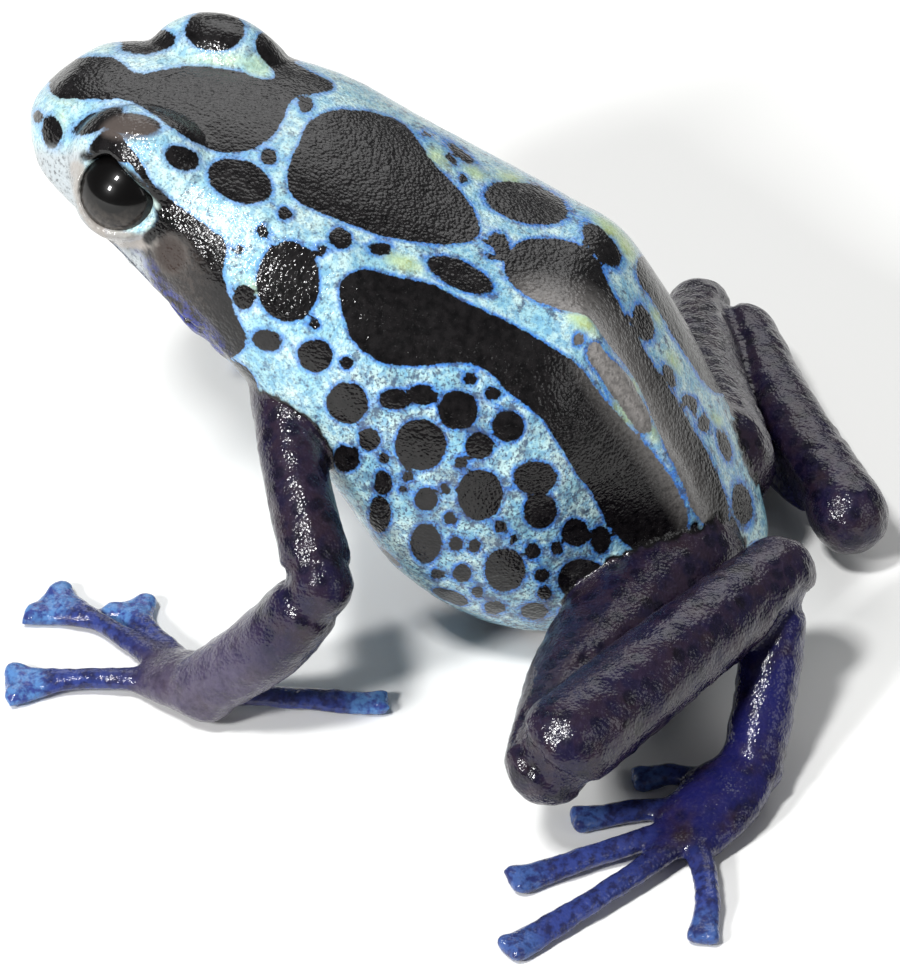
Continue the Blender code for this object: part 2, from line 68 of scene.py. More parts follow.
# Head and trunk
# One smooth form of cross sections along the spine, as the solids have it, with more rings. Each
# section: place along Y, middle X, turn in degrees, back and belly height, half width, widest level.
SPINE = np.array((
    (-17.5, -1.85, -8.3, 22.8, 19.9, 2.7, 21.3),
    (-15.0, -1.5, -8.3, 24.1, 18.8, 4.4, 21.0),
    (-11.0, -0.95, -8.3, 24.6, 16.5, 6.0, 20.3),
    (-7.5, -0.45, -8.3, 24.6, 15.0, 7.6, 19.5),
    (-4.0, -0.1, -5.0, 24.1, 12.5, 8.7, 18.0),
    (0.0, 0.15, 0.0, 22.8, 8.0, 9.7, 14.6),
    (4.0, 0.2, 1.0, 21.2, 2.7, 10.5, 11.2),
    (8.0, 0.15, 2.0, 19.8, 0.1, 10.2, 9.6),
    (11.5, 0.1, 2.0, 18.3, -0.3, 9.0, 8.6),
    (14.5, 0.0, 0.0, 15.0, -0.1, 7.1, 7.0),
    (17.5, 0.0, 0.0, 10.3, 1.2, 5.1, 5.6),
    (20.6, 0.0, 0.0, 6.3, 3.1, 2.7, 4.7),
))
SNOUT_ROUNDING = 2.4
VENT_ROUNDING = 3.2
BACK_SQUARENESS = 2.5  # 2 is an ellipse, more is squarer
BELLY_SQUARENESS = 2.3
BODY_RINGS = 90
BODY_SIDES = 96
END_RINGS = 12
HIP_RISE = (4.4, 11.6, 18.6)  # the left one of two soft rises over the hip bones
HIP_RISE_REACH = 2.6
HIP_RISE_HEIGHT = 0.7
UP = np.array((0.0, 0.0, 1.0))


def smooth(stations, values, places):
    """The values at the places, read from a smooth curve through the stations."""
    stations = np.asarray(stations, float)
    values = np.asarray(values, float)
    places = np.clip(places, stations[0], stations[-1])
    slopes = np.gradient(values, stations, axis=0)
    span = np.clip(np.searchsorted(stations, places) - 1, 0, len(stations) - 2)
    shape = (-1,) + (1,) * (values.ndim - 1)
    width = (stations[span + 1] - stations[span]).reshape(shape)
    t = (places - stations[span]).reshape(shape) / width
    near = (1 + 2 * t) * (1 - t) ** 2 * values[span] + t * (1 - t) ** 2 * width * slopes[span]
    far = t * t * (3 - 2 * t) * values[span + 1] - t * t * (1 - t) * width * slopes[span + 1]
    return near + far


def rounded_places(low, high, low_round, high_round, between, end_rings):
    """Ring places from low to high, closer together in the round ends, and each ring's scale."""
    quarter = np.linspace(0, np.pi / 2, end_rings + 1)[1:]
    first = low + low_round * (1 - np.cos(quarter))
    last = high - high_round * (1 - np.cos(quarter))[::-1]
    middle = np.linspace(first[-1], last[0], between + 2)[1:-1]
    scales = np.concatenate([np.sin(quarter), np.ones(between), np.sin(quarter)[::-1]])
    return np.concatenate([first, middle, last]), scales


def loft(rings, first_tip, last_tip):
    """Points and faces of a closed form through the rings, with a point at each end."""
    rings = np.array(rings)
    count, sides = rings.shape[:2]
    index = np.arange(count * sides).reshape(count, sides)
    beside = np.roll(index, -1, axis=1)
    walls = np.stack([index[:-1], beside[:-1], beside[1:], index[1:]], -1).reshape(-1, 4)
    first, last = count * sides, count * sides + 1
    faces = [tuple(wall) for wall in walls.tolist()]
    faces += [(first, b, a) for a, b in zip(index[0].tolist(), beside[0].tolist())]
    faces += [(last, a, b) for a, b in zip(index[-1].tolist(), beside[-1].tolist())]
    return np.concatenate([rings.reshape(-1, 3), [first_tip, last_tip]]), faces


def head_and_trunk():
    """The whole form from snout to vent."""
    first, last = SPINE[0, 0], SPINE[-1, 0]
    places, scales = rounded_places(
        first, last, SNOUT_ROUNDING, VENT_ROUNDING, BODY_RINGS, END_RINGS
    )
    rows = smooth(SPINE[:, 0], SPINE[:, 1:], places)
    angle = np.linspace(0, 2 * np.pi, BODY_SIDES, endpoint=False)
    across, upward = np.cos(angle), np.sin(angle)
    power = 2 / np.where(upward > 0, BACK_SQUARENESS, BELLY_SQUARENESS)
    rings = []
    for y, scale, (x, turn, top, bottom, half, level) in zip(places, scales, rows):
        side = scale * half * np.sign(across) * np.abs(across) ** power
        reach = np.where(upward > 0, top - level, level - bottom)
        rise = scale * reach * np.sign(upward) * np.abs(upward) ** power
        turn = np.radians(turn)
        ring = np.stack([x + side * np.cos(turn), y + side * np.sin(turn), level + rise], -1)
        for hand in (1, -1):
            away = np.sum((ring - np.multiply(HIP_RISE, (hand, 1, 1))) ** 2, axis=1)
            ring[:, 2] += HIP_RISE_HEIGHT * np.exp(-away / HIP_RISE_REACH**2)
        rings.append(ring)
    tips = [(row[0], y, row[5]) for row, y in zip(rows[[0, -1]], (first, last))]
    return loft(rings, *tips)


def object_of(name, mesh, bm=None):
    """A new object with the mesh, which takes over the bmesh if one is given."""
    if bm:
        bm.to_mesh(mesh)
        bm.free()
    piece = bpy.data.objects.new(name, mesh)
    bpy.context.scene.collection.objects.link(piece)
    return piece


def mesh_object(name, points, faces):
    """A mesh object with its faces turned outwards."""
    mesh = bpy.data.meshes.new(name)
    mesh.from_pydata(np.asarray(points).tolist(), [], faces)
    bm = bmesh.new()
    bm.from_mesh(mesh)
    bmesh.ops.recalc_face_normals(bm, faces=bm.faces)
    return object_of(name, mesh, bm)


def points_of(mesh):
    """The mesh's points as rows of numbers."""
    points = np.empty(len(mesh.vertices) * 3, np.float32)
    mesh.vertices.foreach_get("co", points)
    return points.reshape(-1, 3).astype(float)


def apply_modifiers(piece):
    """Turns the piece's modifiers into plain mesh."""
    graph = bpy.context.evaluated_depsgraph_get()
    mesh = bpy.data.meshes.new_from_object(piece.evaluated_get(graph))
    piece.modifiers.clear()
    old, piece.data = piece.data, mesh
    bpy.data.meshes.remove(old)


def combine(piece, others, operation, solver="EXACT"):
    """Joins the others to the piece by UNION, or takes them from it by DIFFERENCE."""
    for other in others:
        modifier = piece.modifiers.new("combine", "BOOLEAN")
        modifier.operation = operation
        modifier.solver = solver
        modifier.object = other
        apply_modifiers(piece)
        bpy.data.objects.remove(other)


flesh = mesh_object("flesh", *head_and_trunk())

# Orbits and lids
# Raised skin over each eye, and over it a thin cover with an opening whose rim is the lids. The
# upper lid crosses the eyeball in a straight line from its front to its rear corner.
SNOUT = (-1.87, -17.82, 20.6)  # the origin of the head's own frame: X left, Y rearwards, Z up
HEAD_TURN = -8.35
EYE = (5.4, 7.5, 1.25)
EYE_RADIUS = 2.15
EYE_REARWARD = 8.0  # degrees that the lids' opening turns back from straight sideways
EYE_UPWARD = 30.0
ORBIT = (4.2, 8.0, 1.75)
ORBIT_RADII = (2.8, 3.8, 3.3)
LID_OPENING = 1.9
LID_COVER = 0.32
UPPER_LID_TURN = 56.0  # degrees from straight rearwards to the way that the upper lid faces
UPPER_LID_PLACE = 1.2  # from the opening's middle to the upper lid
LID_THICKNESS = (0.15, 0.32)  # half of it, above and below
LID_STAND = 0.35  # how far out of the eyeball the rim's middle stands, as a share of that
LID_STATIONS = 48
LID_SIDES = 12
SOCKET_ROOM = 0.02  # between the eyeball and the skin
HANDS = ((1, "left"), (-1, "right"))


def head_point(across, back, rise):
    """A point of the head's own frame, in the frog's frame."""
    turn = np.radians(HEAD_TURN)
    x = SNOUT[0] + across * np.cos(turn) - back * np.sin(turn)
    y = SNOUT[1] + across * np.sin(turn) + back * np.cos(turn)
    return np.array((x, y, SNOUT[2] + rise))


def head_way(hand, rearward, upward=0.0):
    """The direction out to one side of the head, turned rearward and upward by some degrees."""
    turn, lift = np.radians(HEAD_TURN + hand * rearward), np.radians(upward)
    level = hand * np.array((np.cos(turn), np.sin(turn), 0.0))
    return level * np.cos(lift) + UP * np.sin(lift)


def ball(name, centre, radii, turn=0.0, sides=40):
    """A closed ball with three radii, turned by some degrees about the upright axis."""
    bm = bmesh.new()
    bmesh.ops.create_uvsphere(bm, u_segments=sides, v_segments=sides * 2 // 3, radius=1.0)
    bmesh.ops.scale(bm, verts=bm.verts, vec=np.broadcast_to(radii, 3))
    bmesh.ops.rotate(bm, verts=bm.verts, matrix=Matrix.Rotation(np.radians(turn), 3, "Z"))
    bmesh.ops.translate(bm, verts=bm.verts, vec=centre)
    return object_of(name, bpy.data.meshes.new(name), bm)


def lid_axes(hand, way):
    """Rearwards and upwards across the eye's opening, and the way that its upper lid faces."""
    rearward = hand * np.cross(UP, way)
    rearward /= np.linalg.norm(rearward)
    upward = hand * np.cross(way, rearward)
    turn = np.radians(UPPER_LID_TURN)
    return rearward, upward, rearward * np.cos(turn) + upward * np.sin(turn)


def opening_peg(name, centre, way, lid_way, sides=72):
    """A closed peg that starts at the centre and points along the way, flat at the upper lid."""
    bm = bmesh.new()
    bmesh.ops.create_cone(
        bm, cap_ends=True, segments=sides, radius1=LID_OPENING, radius2=LID_OPENING,
        depth=2 * EYE_RADIUS,
    )
    bmesh.ops.translate(bm, verts=bm.verts, vec=(0.0, 0.0, EYE_RADIUS))
    bmesh.ops.rotate(bm, verts=bm.verts, matrix=Vector(way).to_track_quat("Z", "Y").to_matrix())
    for vertex in bm.verts:
        beyond = max(0.0, float(np.dot(vertex.co, lid_way)) - UPPER_LID_PLACE)
        vertex.co -= Vector(lid_way * beyond)
    bmesh.ops.translate(bm, verts=bm.verts, vec=centre)
    return object_of(name, bpy.data.meshes.new(name), bm)


for hand, _ in HANDS:
    orbit = ball("orbit", head_point(hand * ORBIT[0], *ORBIT[1:]), ORBIT_RADII, HEAD_TURN)
    cover = ball("cover", head_point(hand * EYE[0], *EYE[1:]), EYE_RADIUS + LID_COVER)
    combine(flesh, [orbit, cover], "UNION")
for hand, _ in HANDS:
    eye = head_point(hand * EYE[0], *EYE[1:])
    way = head_way(hand, EYE_REARWARD, EYE_UPWARD)
    socket = ball("socket", eye, EYE_RADIUS + SOCKET_ROOM)
    opening = opening_peg("opening", eye, way, lid_axes(hand, way)[2])
    combine(flesh, [socket, opening], "DIFFERENCE")


def lids(eye, hand, way):
    """The swollen rim of the lids: a ring round the opening, thicker below than above."""
    rearward, upward, lid_way = lid_axes(hand, way)
    rings = []
    for turn in np.linspace(0, 2 * np.pi, LID_STATIONS, endpoint=False):
        outward = np.cos(turn) * rearward + np.sin(turn) * upward
        reach = LID_OPENING
        if outward @ lid_way > 0:
            reach = min(LID_OPENING, UPPER_LID_PLACE / (outward @ lid_way))
        thick = np.interp(np.sin(turn), (-1, 1), LID_THICKNESS[::-1])
        out = np.arcsin(reach / EYE_RADIUS)
        middle = way * np.cos(out) + outward * np.sin(out)
        over = outward * np.cos(out) - way * np.sin(out)
        angle = np.linspace(0, 2 * np.pi, LID_SIDES, endpoint=False)
        ring = np.outer(np.cos(angle), middle) + np.outer(np.sin(angle), over)
        rings.append(eye + middle * (EYE_RADIUS + LID_STAND * thick) + thick * ring)
    index = np.arange(LID_STATIONS * LID_SIDES).reshape(LID_STATIONS, LID_SIDES)
    further, beyond = np.roll(index, -1, axis=0), np.roll(index, -1, axis=1)
    corners = np.stack([index, beyond, np.roll(further, -1, axis=1), further], -1)
    return np.concatenate(rings), [tuple(face) for face in corners.reshape(-1, 4).tolist()]


# Arms and legs
# Tubes of flesh round the joints. A segment's points run along its middle, from one joint's centre
# to the next, and each has a half width and a half height, as in the solids.
ELBOW_LEFT = (15.5, 2.1, 9.5)
WRIST_LEFT = (15.7, -3.6, 1.8)
KNEE_LEFT = (19.6, 15.2, 6.9)
HEEL_LEFT = (5.6, 22.0, 7.3)
ANKLE_LEFT = (12.7, 22.9, 1.75)
ELBOW_RIGHT = (-14.3, 3.4, 8.8)
WRIST_RIGHT = (-13.6, 1.5, 1.8)
KNEE_RIGHT = (-17.5, 15.6, 2.9)
HEEL_RIGHT = (-5.2, 23.8, 3.0)
ANKLE_RIGHT = (-12.2, 17.4, 1.6)
SEGMENTS = {
    "upper_arm_left": (((6.7, -2.4, 14.2), (11.2, -0.5, 12.2), ELBOW_LEFT), (1.8, 1.6, 1.75)),
    "forearm_left": ((ELBOW_LEFT, (15.8, -0.4, 5.4), WRIST_LEFT), (1.7, 1.9, 1.7), (1.7, 1.8, 1.6)),
    "thigh_left": (((3.5, 17.0, 5.2), (12.0, 14.9, 4.8), (19.9, 14.5, 5.8)), (3.2, 3.0, 2.2)),
    "shank_left": ((KNEE_LEFT, (13.4, 18.5, 7.6), HEEL_LEFT), (2.4, 2.2, 1.95), (2.4, 2.2, 2.0)),
    "tarsus_left": ((HEEL_LEFT, (9.2, 22.7, 4.2), ANKLE_LEFT), (1.6, 1.55, 1.5), (1.6, 1.55, 1.4)),
    "upper_arm_right": (((-6.5, -2.1, 14.2), (-10.7, 0.2, 12.0), ELBOW_RIGHT), (1.8, 1.6, 1.75)),
    "forearm_right": ((ELBOW_RIGHT, (-14.1, 2.6, 5.2), WRIST_RIGHT), (1.7, 1.8, 1.6), (1.7, 1.75, 1.5)),
    "thigh_right": (((-3.5, 17.0, 6.0), (-11.0, 14.7, 4.4), (-19.0, 13.0, 2.8)), (3.1, 2.5, 1.8)),
    "shank_right": ((KNEE_RIGHT, (-11.1, 19.5, 3.1), HEEL_RIGHT), (1.85, 1.85, 2.0)),
    "tarsus_right": ((HEEL_RIGHT, (-8.6, 20.6, 2.2), ANKLE_RIGHT), (1.5, 1.5, 1.4), (1.5, 1.5, 1.3)),
}


def tube(points, widths, heights=None, sides=28, between=26, end_rings=8):
    """A closed tube through the points with round ends: its points and faces."""
    points = np.asarray(points, float)
    along = np.concatenate([[0], np.cumsum(np.linalg.norm(np.diff(points, axis=0), axis=1))])
    radii = np.stack([widths, widths if heights is None else heights], -1)
    first_round, last_round = radii[0].min(), radii[-1].min()
    low, high = -first_round, along[-1] + last_round
    places, scales = rounded_places(low, high, first_round, last_round, between, end_rings)
    slopes = np.gradient(points, along, axis=0)
    first_way = slopes[0] / np.linalg.norm(slopes[0])
    last_way = slopes[-1] / np.linalg.norm(slopes[-1])
    centres = smooth(along, points, places)
    centres += np.outer(np.minimum(places, 0), first_way)
    centres += np.outer(np.maximum(places - along[-1], 0), last_way)
    sizes = smooth(along, radii, places) * scales[:, None]
    heading = np.gradient(centres, places, axis=0)
    across = np.cross(UP, heading)
    across /= np.linalg.norm(across, axis=1)[:, None]
    over = np.cross(heading, across)
    over /= np.linalg.norm(over, axis=1)[:, None]
    angle = np.linspace(0, 2 * np.pi, sides, endpoint=False)
    rings = [
        centre + np.outer(np.cos(angle) * size[0], side) + np.outer(np.sin(angle) * size[1], top)
        for centre, size, side, top in zip(centres, sizes, across, over)
    ]
    tips = points[0] - first_way * first_round, points[-1] + last_way * last_round
    return loft(rings, *tips)


# What the skin grows over: each shape's points and faces, whether it is a limb, how blue its skin
# is, and for a digit its two ends.
INDIGO = {
    "upper_arm": 0.1, "forearm": 0.25, "hand": 0.2, "thigh": 0.1, "shank": 0.15, "tarsus": 0.85,
    "foot": 0.8, "digit": 0.6,
}
trunk = points_of(flesh.data), [tuple(face.vertices) for face in flesh.data.polygons]
shapes = [(*trunk, 0.0, 0.0, None)]
for hand, _ in HANDS:
    rim = lids(head_point(hand * EYE[0], *EYE[1:]), hand, head_way(hand, EYE_REARWARD, EYE_UPWARD))
    shapes.append((*rim, 0.0, 0.0, None))
for name, segment in SEGMENTS.items():
    shapes.append((*tube(*segment), 1.0, INDIGO[name.rsplit("_", 1)[0]], None))
bpy.data.objects.remove(flesh)

# Hands and feet
# A flat palm or sole at the end of each limb, with four fingers or five toes that end in flat
# discs. Each disc carries two small pads side by side on top, as in the living frog.
PALM = (((0.2, 0.5, 1.7), (-0.8, -1.2, 1.35), (-1.5, -2.7, 0.75)), (1.55, 1.9, 1.7), (1.4, 1.2, 0.8))
SOLE = (((0.2, 0.1, 1.6), (2.8, -1.1, 1.25), (5.4, -2.1, 0.75)), (1.5, 2.1, 1.75), (1.3, 1.1, 0.8))
FINGERS = (
    (((-0.6, 0.6, 1.1), (-1.7, 4.0, 0.75), (-3.1, 8.3, 0.48)), 0.8),
    (((-2.0, -1.2, 1.0), (-4.3, -3.9, 0.75), (-6.2, -5.5, 0.48)), 1.7),
    (((-1.8, -2.0, 1.0), (-4.1, -6.2, 0.75), (-5.2, -9.5, 0.48)), 2.1),
    (((-0.9, -2.0, 1.0), (0.0, -5.8, 0.75), (1.1, -9.2, 0.48)), 1.65),
)
TOES = (
    (((1.5, -1.6, 1.0), (1.0, -3.5, 0.8), (1.5, -5.2, 0.48)), 0.85),
    (((3.4, -2.0, 1.0), (3.9, -4.6, 0.7), (5.1, -7.3, 0.48)), 0.9),
    (((4.6, -2.2, 1.0), (7.2, -5.5, 0.7), (10.1, -9.1, 0.48)), 0.95),
    (((5.4, -2.1, 1.0), (9.7, -4.5, 0.9), (14.6, -8.2, 0.48)), 0.95),
    (((5.2, -1.6, 1.0), (8.6, -0.2, 0.75), (11.2, 0.2, 0.48)), 0.9),
)
DIGIT_STATIONS = (0.0, 0.3, 0.62, 0.84, 1.0)  # shares of a digit's length
DIGIT_WIDTH = 0.66
ROOT_WIDENING = 1.2
DIGIT_HEIGHT = 0.5
FAN_START = 0.5  # the share of the disc's spread reached where the digit begins to fan out
FAN_HEIGHT = 0.46
FAN_LEVEL = 0.44
DISC_HEIGHT = 0.34
HAND_TURN_RIGHT = -20.0
FOOT_TURN_RIGHT = 45.0
PAD_SIZE = (0.62, 0.38, 0.36)  # half length, half width as a share of the disc's, half height
PAD_RISE = 0.56
PAD_SETBACK = 0.2
PAD_PLACE = 0.5  # out from the disc's middle, as a share of its half width
PAD_SPLAY = 0.3
KNUCKLES = (0.38, 0.66)  # shares of a digit's length
KNUCKLE_SIZE = (0.62, 0.6, 0.42)
KNOB_SIDES = 14
KNOB_RINGS = 9


def set_down(points, side, left_joint, right_joint, right_turn):
    """Points of the left hand's or foot's frame, in the frog's frame, on the left or the right."""
    points = np.array(points, float)
    if side == "left":
        return points + (left_joint[0], left_joint[1], 0.0)
    turn = np.radians(right_turn)
    x, y = -points[:, 0], points[:, 1]
    across = x * np.cos(turn) - y * np.sin(turn) + right_joint[0]
    back = x * np.sin(turn) + y * np.cos(turn) + right_joint[1]
    return np.stack([across, back, points[:, 2]], -1)


def digit(points, disc):
    """A finger or toe: slender, then spreading into the thin flat disc at its tip."""
    route = smooth((0.0, 0.5, 1.0), points, DIGIT_STATIONS)
    fan = DIGIT_WIDTH + FAN_START * (disc - DIGIT_WIDTH)
    widths = (DIGIT_WIDTH * ROOT_WIDENING, DIGIT_WIDTH, DIGIT_WIDTH, fan, disc)
    heights = (DIGIT_HEIGHT * ROOT_WIDENING, DIGIT_HEIGHT, DIGIT_HEIGHT, FAN_HEIGHT, DISC_HEIGHT)
    route[3:, 2] = FAN_LEVEL, DISC_HEIGHT
    return tube(route, widths, heights, sides=24, between=24, end_rings=5)


class Socket:
    """A socket in the tree in hand. Sums of sockets and numbers add their own nodes."""

    tree = None

    def __init__(self, end):
        self.end = end

    @classmethod
    def node(cls, kind, settings=None, values=None, output=0):
        """A node of the kind: its settings first, then its values or links; gives one output."""
        node = cls.tree.nodes.new(kind)
        for name, setting in (settings or {}).items():
            setattr(node, name, setting)
        for name, value in (values or {}).items():
            if isinstance(value, Socket):
                cls.tree.links.new(value.end, node.inputs[name])
            else:
                node.inputs[name].default_value = value
        return cls(node.outputs[output])

    @classmethod
    def maths(cls, operation, *values):
        """The outcome of a sum or another operation on the values."""
        return cls.node("ShaderNodeMath", {"operation": operation}, dict(enumerate(values)))

    def __add__(self, other):
        return self.maths("ADD", self, other)

    def __sub__(self, other):
        return self.maths("SUBTRACT", self, other)

    def __mul__(self, other):
        return self.maths("MULTIPLY", self, other)

    def __rsub__(self, other):
        return self.maths("SUBTRACT", other, self)

    __radd__ = __add__
    __rmul__ = __mul__

    def step(self, low, high):
        """0 up to the low value, 1 from the high one, and a soft rise between."""
        span = {"Value": self, "From Min": low, "From Max": high}
        return self.node("ShaderNodeMapRange", {"interpolation_type": "SMOOTHSTEP"}, span)


def knobs_on_points():
    """A geometry tree that sets a stretched and turned ball on each point of a mesh."""
    tree = bpy.data.node_groups.new("knobs on points", "GeometryNodeTree")
    for name, way, kind in (
        ("Points", "INPUT", "NodeSocketGeometry"), ("Fullness", "INPUT", "NodeSocketFloat"),
        ("Skin", "INPUT", "NodeSocketMaterial"), ("Knobs", "OUTPUT", "NodeSocketGeometry"),
    ):
        tree.interface.new_socket(name, in_out=way, socket_type=kind)
    Socket.tree = tree
    points, fullness, skin_finish = (
        Socket.node("NodeGroupInput", output=name) for name in ("Points", "Fullness", "Skin")
    )
    way, size = (
        Socket.node("GeometryNodeInputNamedAttribute", {"data_type": "FLOAT_VECTOR"}, {"Name": name})
        for name in ("way", "size")
    )
    size = Socket.node("ShaderNodeVectorMath", {"operation": "SCALE"}, {0: size, "Scale": fullness})
    turn = Socket.node("FunctionNodeAlignRotationToVector", {"axis": "X"}, {"Vector": way})
    values = {"Segments": KNOB_SIDES, "Rings": KNOB_RINGS, "Radius": 1.0}
    knob = Socket.node("GeometryNodeMeshUVSphere", None, values)
    values = {"Points": points, "Instance": knob, "Rotation": turn, "Scale": size}
    knobs = Socket.node("GeometryNodeInstanceOnPoints", None, values)
    knobs = Socket.node("GeometryNodeRealizeInstances", None, {"Geometry": knobs})
    values = {"Geometry": knobs, "Material": skin_finish}
    knobs = Socket.node("GeometryNodeSetMaterial", None, values)
    out = tree.nodes.new("NodeGroupOutput")
    tree.links.new(knobs.end, out.inputs["Knobs"])
    return tree


def knobs_of(points, disc):
    """Places, ways and sizes of a digit's two disc pads and of its knuckles."""
    _, middle, tip = np.array(points)
    way = (tip - middle) * (1, 1, 0)
    way /= np.linalg.norm(way)
    beside = np.cross(way, UP)
    for hand in (1, -1):
        place = tip - PAD_SETBACK * way + hand * PAD_PLACE * disc * beside
        place[2] = PAD_RISE
        yield place, way + hand * PAD_SPLAY * beside, np.multiply(PAD_SIZE, (1, disc, 1))
    for share in KNUCKLES:
        place = smooth((0.0, 0.5, 1.0), points, [share])[0]
        yield place, way, np.array(KNUCKLE_SIZE)


FINGER_SHINE = 1.0  # how far the discs turn to their light blue
TOE_SHINE = 0.35
skin_material = bpy.data.materials.new("wet spotted skin")
knobs = []
for _, side in HANDS:
    hand_place = (side, WRIST_LEFT, WRIST_RIGHT, HAND_TURN_RIGHT)
    foot_place = (side, ANKLE_LEFT, ANKLE_RIGHT, FOOT_TURN_RIGHT)
    for (route, *sizes), place, name in ((PALM, hand_place, "hand"), (SOLE, foot_place, "foot")):
        shapes.append((*tube(set_down(route, *place), *sizes), 1.0, INDIGO[name], None))
    for digits, place, blue in ((FINGERS, hand_place, FINGER_SHINE), (TOES, foot_place, TOE_SHINE)):
        for points, disc in digits:
            points = set_down(points, *place)
            span = (points[0], points[-1], blue)
            shapes.append((*digit(points, disc), 1.0, INDIGO["digit"], span))
            knobs += [(*knob, span) for knob in knobs_of(points, disc)]

# The pads and knuckles, set on their points by the tree and turned into plain mesh.
knob_mesh = bpy.data.meshes.new("pads and knuckles")
knob_mesh.from_pydata([tuple(knob[0]) for knob in knobs], [], [])
for name, column in (("way", 1), ("size", 2)):
    values = np.array([knob[column] for knob in knobs], np.float32).reshape(-1)
    knob_mesh.attributes.new(name, "FLOAT_VECTOR", "POINT").data.foreach_set("vector", values)
pads = object_of("pads and knuckles", knob_mesh)
growing = pads.modifiers.new("knobs", "NODES")
growing.node_group = knobs_on_points()
inputs = {item.name: item.identifier for item in growing.node_group.interface.items_tree}
growing[inputs["Fullness"]] = 1.0
growing[inputs["Skin"]] = skin_material
apply_modifiers(pads)
faces_each = len(pads.data.polygons) // len(knobs)
knob_faces = [tuple(face.vertices) for face in pads.data.polygons[:faces_each]]
for points, knob in zip(points_of(pads.data).reshape(len(knobs), -1, 3), knobs):
    shapes.append((points, knob_faces, 1.0, INDIGO["digit"], knob[3]))
bpy.data.objects.remove(pads)

# One skin
# All the flesh is grown together into a single closed surface of even small faces, and smoothed
# where limbs meet the trunk. It stays on the solids, and its underside is flat on the floor.
SKIN_GRAIN = 0.185  # the side of one face before the flat parts are thinned
SMOOTHING_ROUNDS = 6
LAST_ROUNDS = 1
MOST_TRIANGLES = 192000


def grow_together(name, parts):
    """One closed mesh over all the parts."""
    points, faces, count = [], [], 0
    for part in parts:
        points.append(part[0])
        faces += [tuple(k + count for k in face) for face in part[1]]
        count += len(part[0])
    piece = mesh_object(name, np.concatenate(points), faces)
    remesh = piece.modifiers.new("even faces", "REMESH")
    remesh.mode = "VOXEL"
    remesh.voxel_size = SKIN_GRAIN
    apply_modifiers(piece)
    return piece


def edges_of(mesh):
    """The two ends of every edge."""
    ends = np.empty(len(mesh.edges) * 2, np.int32)
    mesh.edges.foreach_get("vertices", ends)
    return ends.reshape(-1, 2)


def neighbour_mean(values, ends):
    """Each point's mean over its neighbours."""
    total = np.zeros(values.shape)
    np.add.at(total, ends[:, 0], values[ends[:, 1]])
    np.add.at(total, ends[:, 1], values[ends[:, 0]])
    degree = np.maximum(np.bincount(ends.reshape(-1), minlength=len(values)), 1)
    return total / degree.reshape((-1,) + (1,) * (values.ndim - 1))


def smooth_points(mesh, rounds):
    """Moves every point halfway to its neighbours' mean, and none below the floor."""
    place, ends = points_of(mesh), edges_of(mesh)
    for _ in range(rounds):
        place = place + 0.5 * (neighbour_mean(place, ends) - place)
    place[:, 2] = np.maximum(place[:, 2], 0.0)
    mesh.vertices.foreach_set("co", place.astype(np.float32).reshape(-1))


skin = grow_together("skin", shapes)
smooth_points(skin.data, SMOOTHING_ROUNDS)
thin = skin.modifiers.new("thin the flat parts", "DECIMATE")
thin.ratio = min(1.0, MOST_TRIANGLES / (2 * len(skin.data.polygons)))
apply_modifiers(skin)
smooth_points(skin.data, LAST_ROUNDS)

# Mouth and nostrils
# A fine groove runs round the jaw below the upper lip, and each nostril is a short slit on the
# side of the snout. Both are cut into the finished skin, so their edges stay sharp.
MOUTH_PLACES = (-17.0, -15.0, -11.0, -7.5, -5.9)
MOUTH_LEVELS = (20.3, 19.6, 18.5, 17.6, 17.1)
LOWEST_MOUTH = 0.9  # of the way down from the snout's widest level to its underside
MOUTH_FRONT = 0.45
MOUTH_RADIUS = 0.13
MOUTH_STATIONS = 17
NOSTRIL = (2.66, 1.38, 0.3)
NOSTRIL_RADII = (0.34, 0.2, 0.24)
NOSTRIL_TURN = 60


def jaw_line():
    """Points from one corner of the mouth round the snout to the other."""
    steps = np.linspace(0, 1, MOUTH_STATIONS)[1:]
    low, high = SPINE[0, 0], MOUTH_PLACES[-1]
    places = low + MOUTH_FRONT + (high - low - MOUTH_FRONT) * steps**2
    rows = smooth(SPINE[:, 0], SPINE[:, 1:], places)
    near = np.clip(1 - (places - low) / SNOUT_ROUNDING, 0, 1)
    scale = np.sqrt(1 - near**2)
    levels = smooth(MOUTH_PLACES, MOUTH_LEVELS, places)
    x, turn, _, bottom, half, level = rows.T
    reach = level - bottom
    drop = np.clip((level - levels) / (scale * reach), 0, LOWEST_MOUTH)
    levels = level - drop * scale * reach
    side = scale * half * (1 - drop**BELLY_SQUARENESS) ** (1 / BELLY_SQUARENESS)
    turn = np.radians(turn)
    left = np.stack([x + side * np.cos(turn), places + side * np.sin(turn), levels], -1)
    right = np.stack([x - side * np.cos(turn), places - side * np.sin(turn), levels], -1)
    in_front = SNOUT_ROUNDING * (1 - np.sqrt(1 - ((level[0] - levels[0]) / reach[0]) ** 2))
    front = (x[0], low + in_front, levels[0])
    return np.concatenate([left[::-1], [front], right])


mouth_line = jaw_line()
radii = [MOUTH_RADIUS] * len(mouth_line)
cuts = [mesh_object("mouth", *tube(mouth_line, radii, sides=8, between=90, end_rings=3))]
for hand, _ in HANDS:
    nostril = head_point(hand * NOSTRIL[0], *NOSTRIL[1:])
    cuts.append(ball("nostril", nostril, NOSTRIL_RADII, NOSTRIL_TURN * hand, 16))
combine(skin, cuts, "DIFFERENCE", "MANIFOLD")

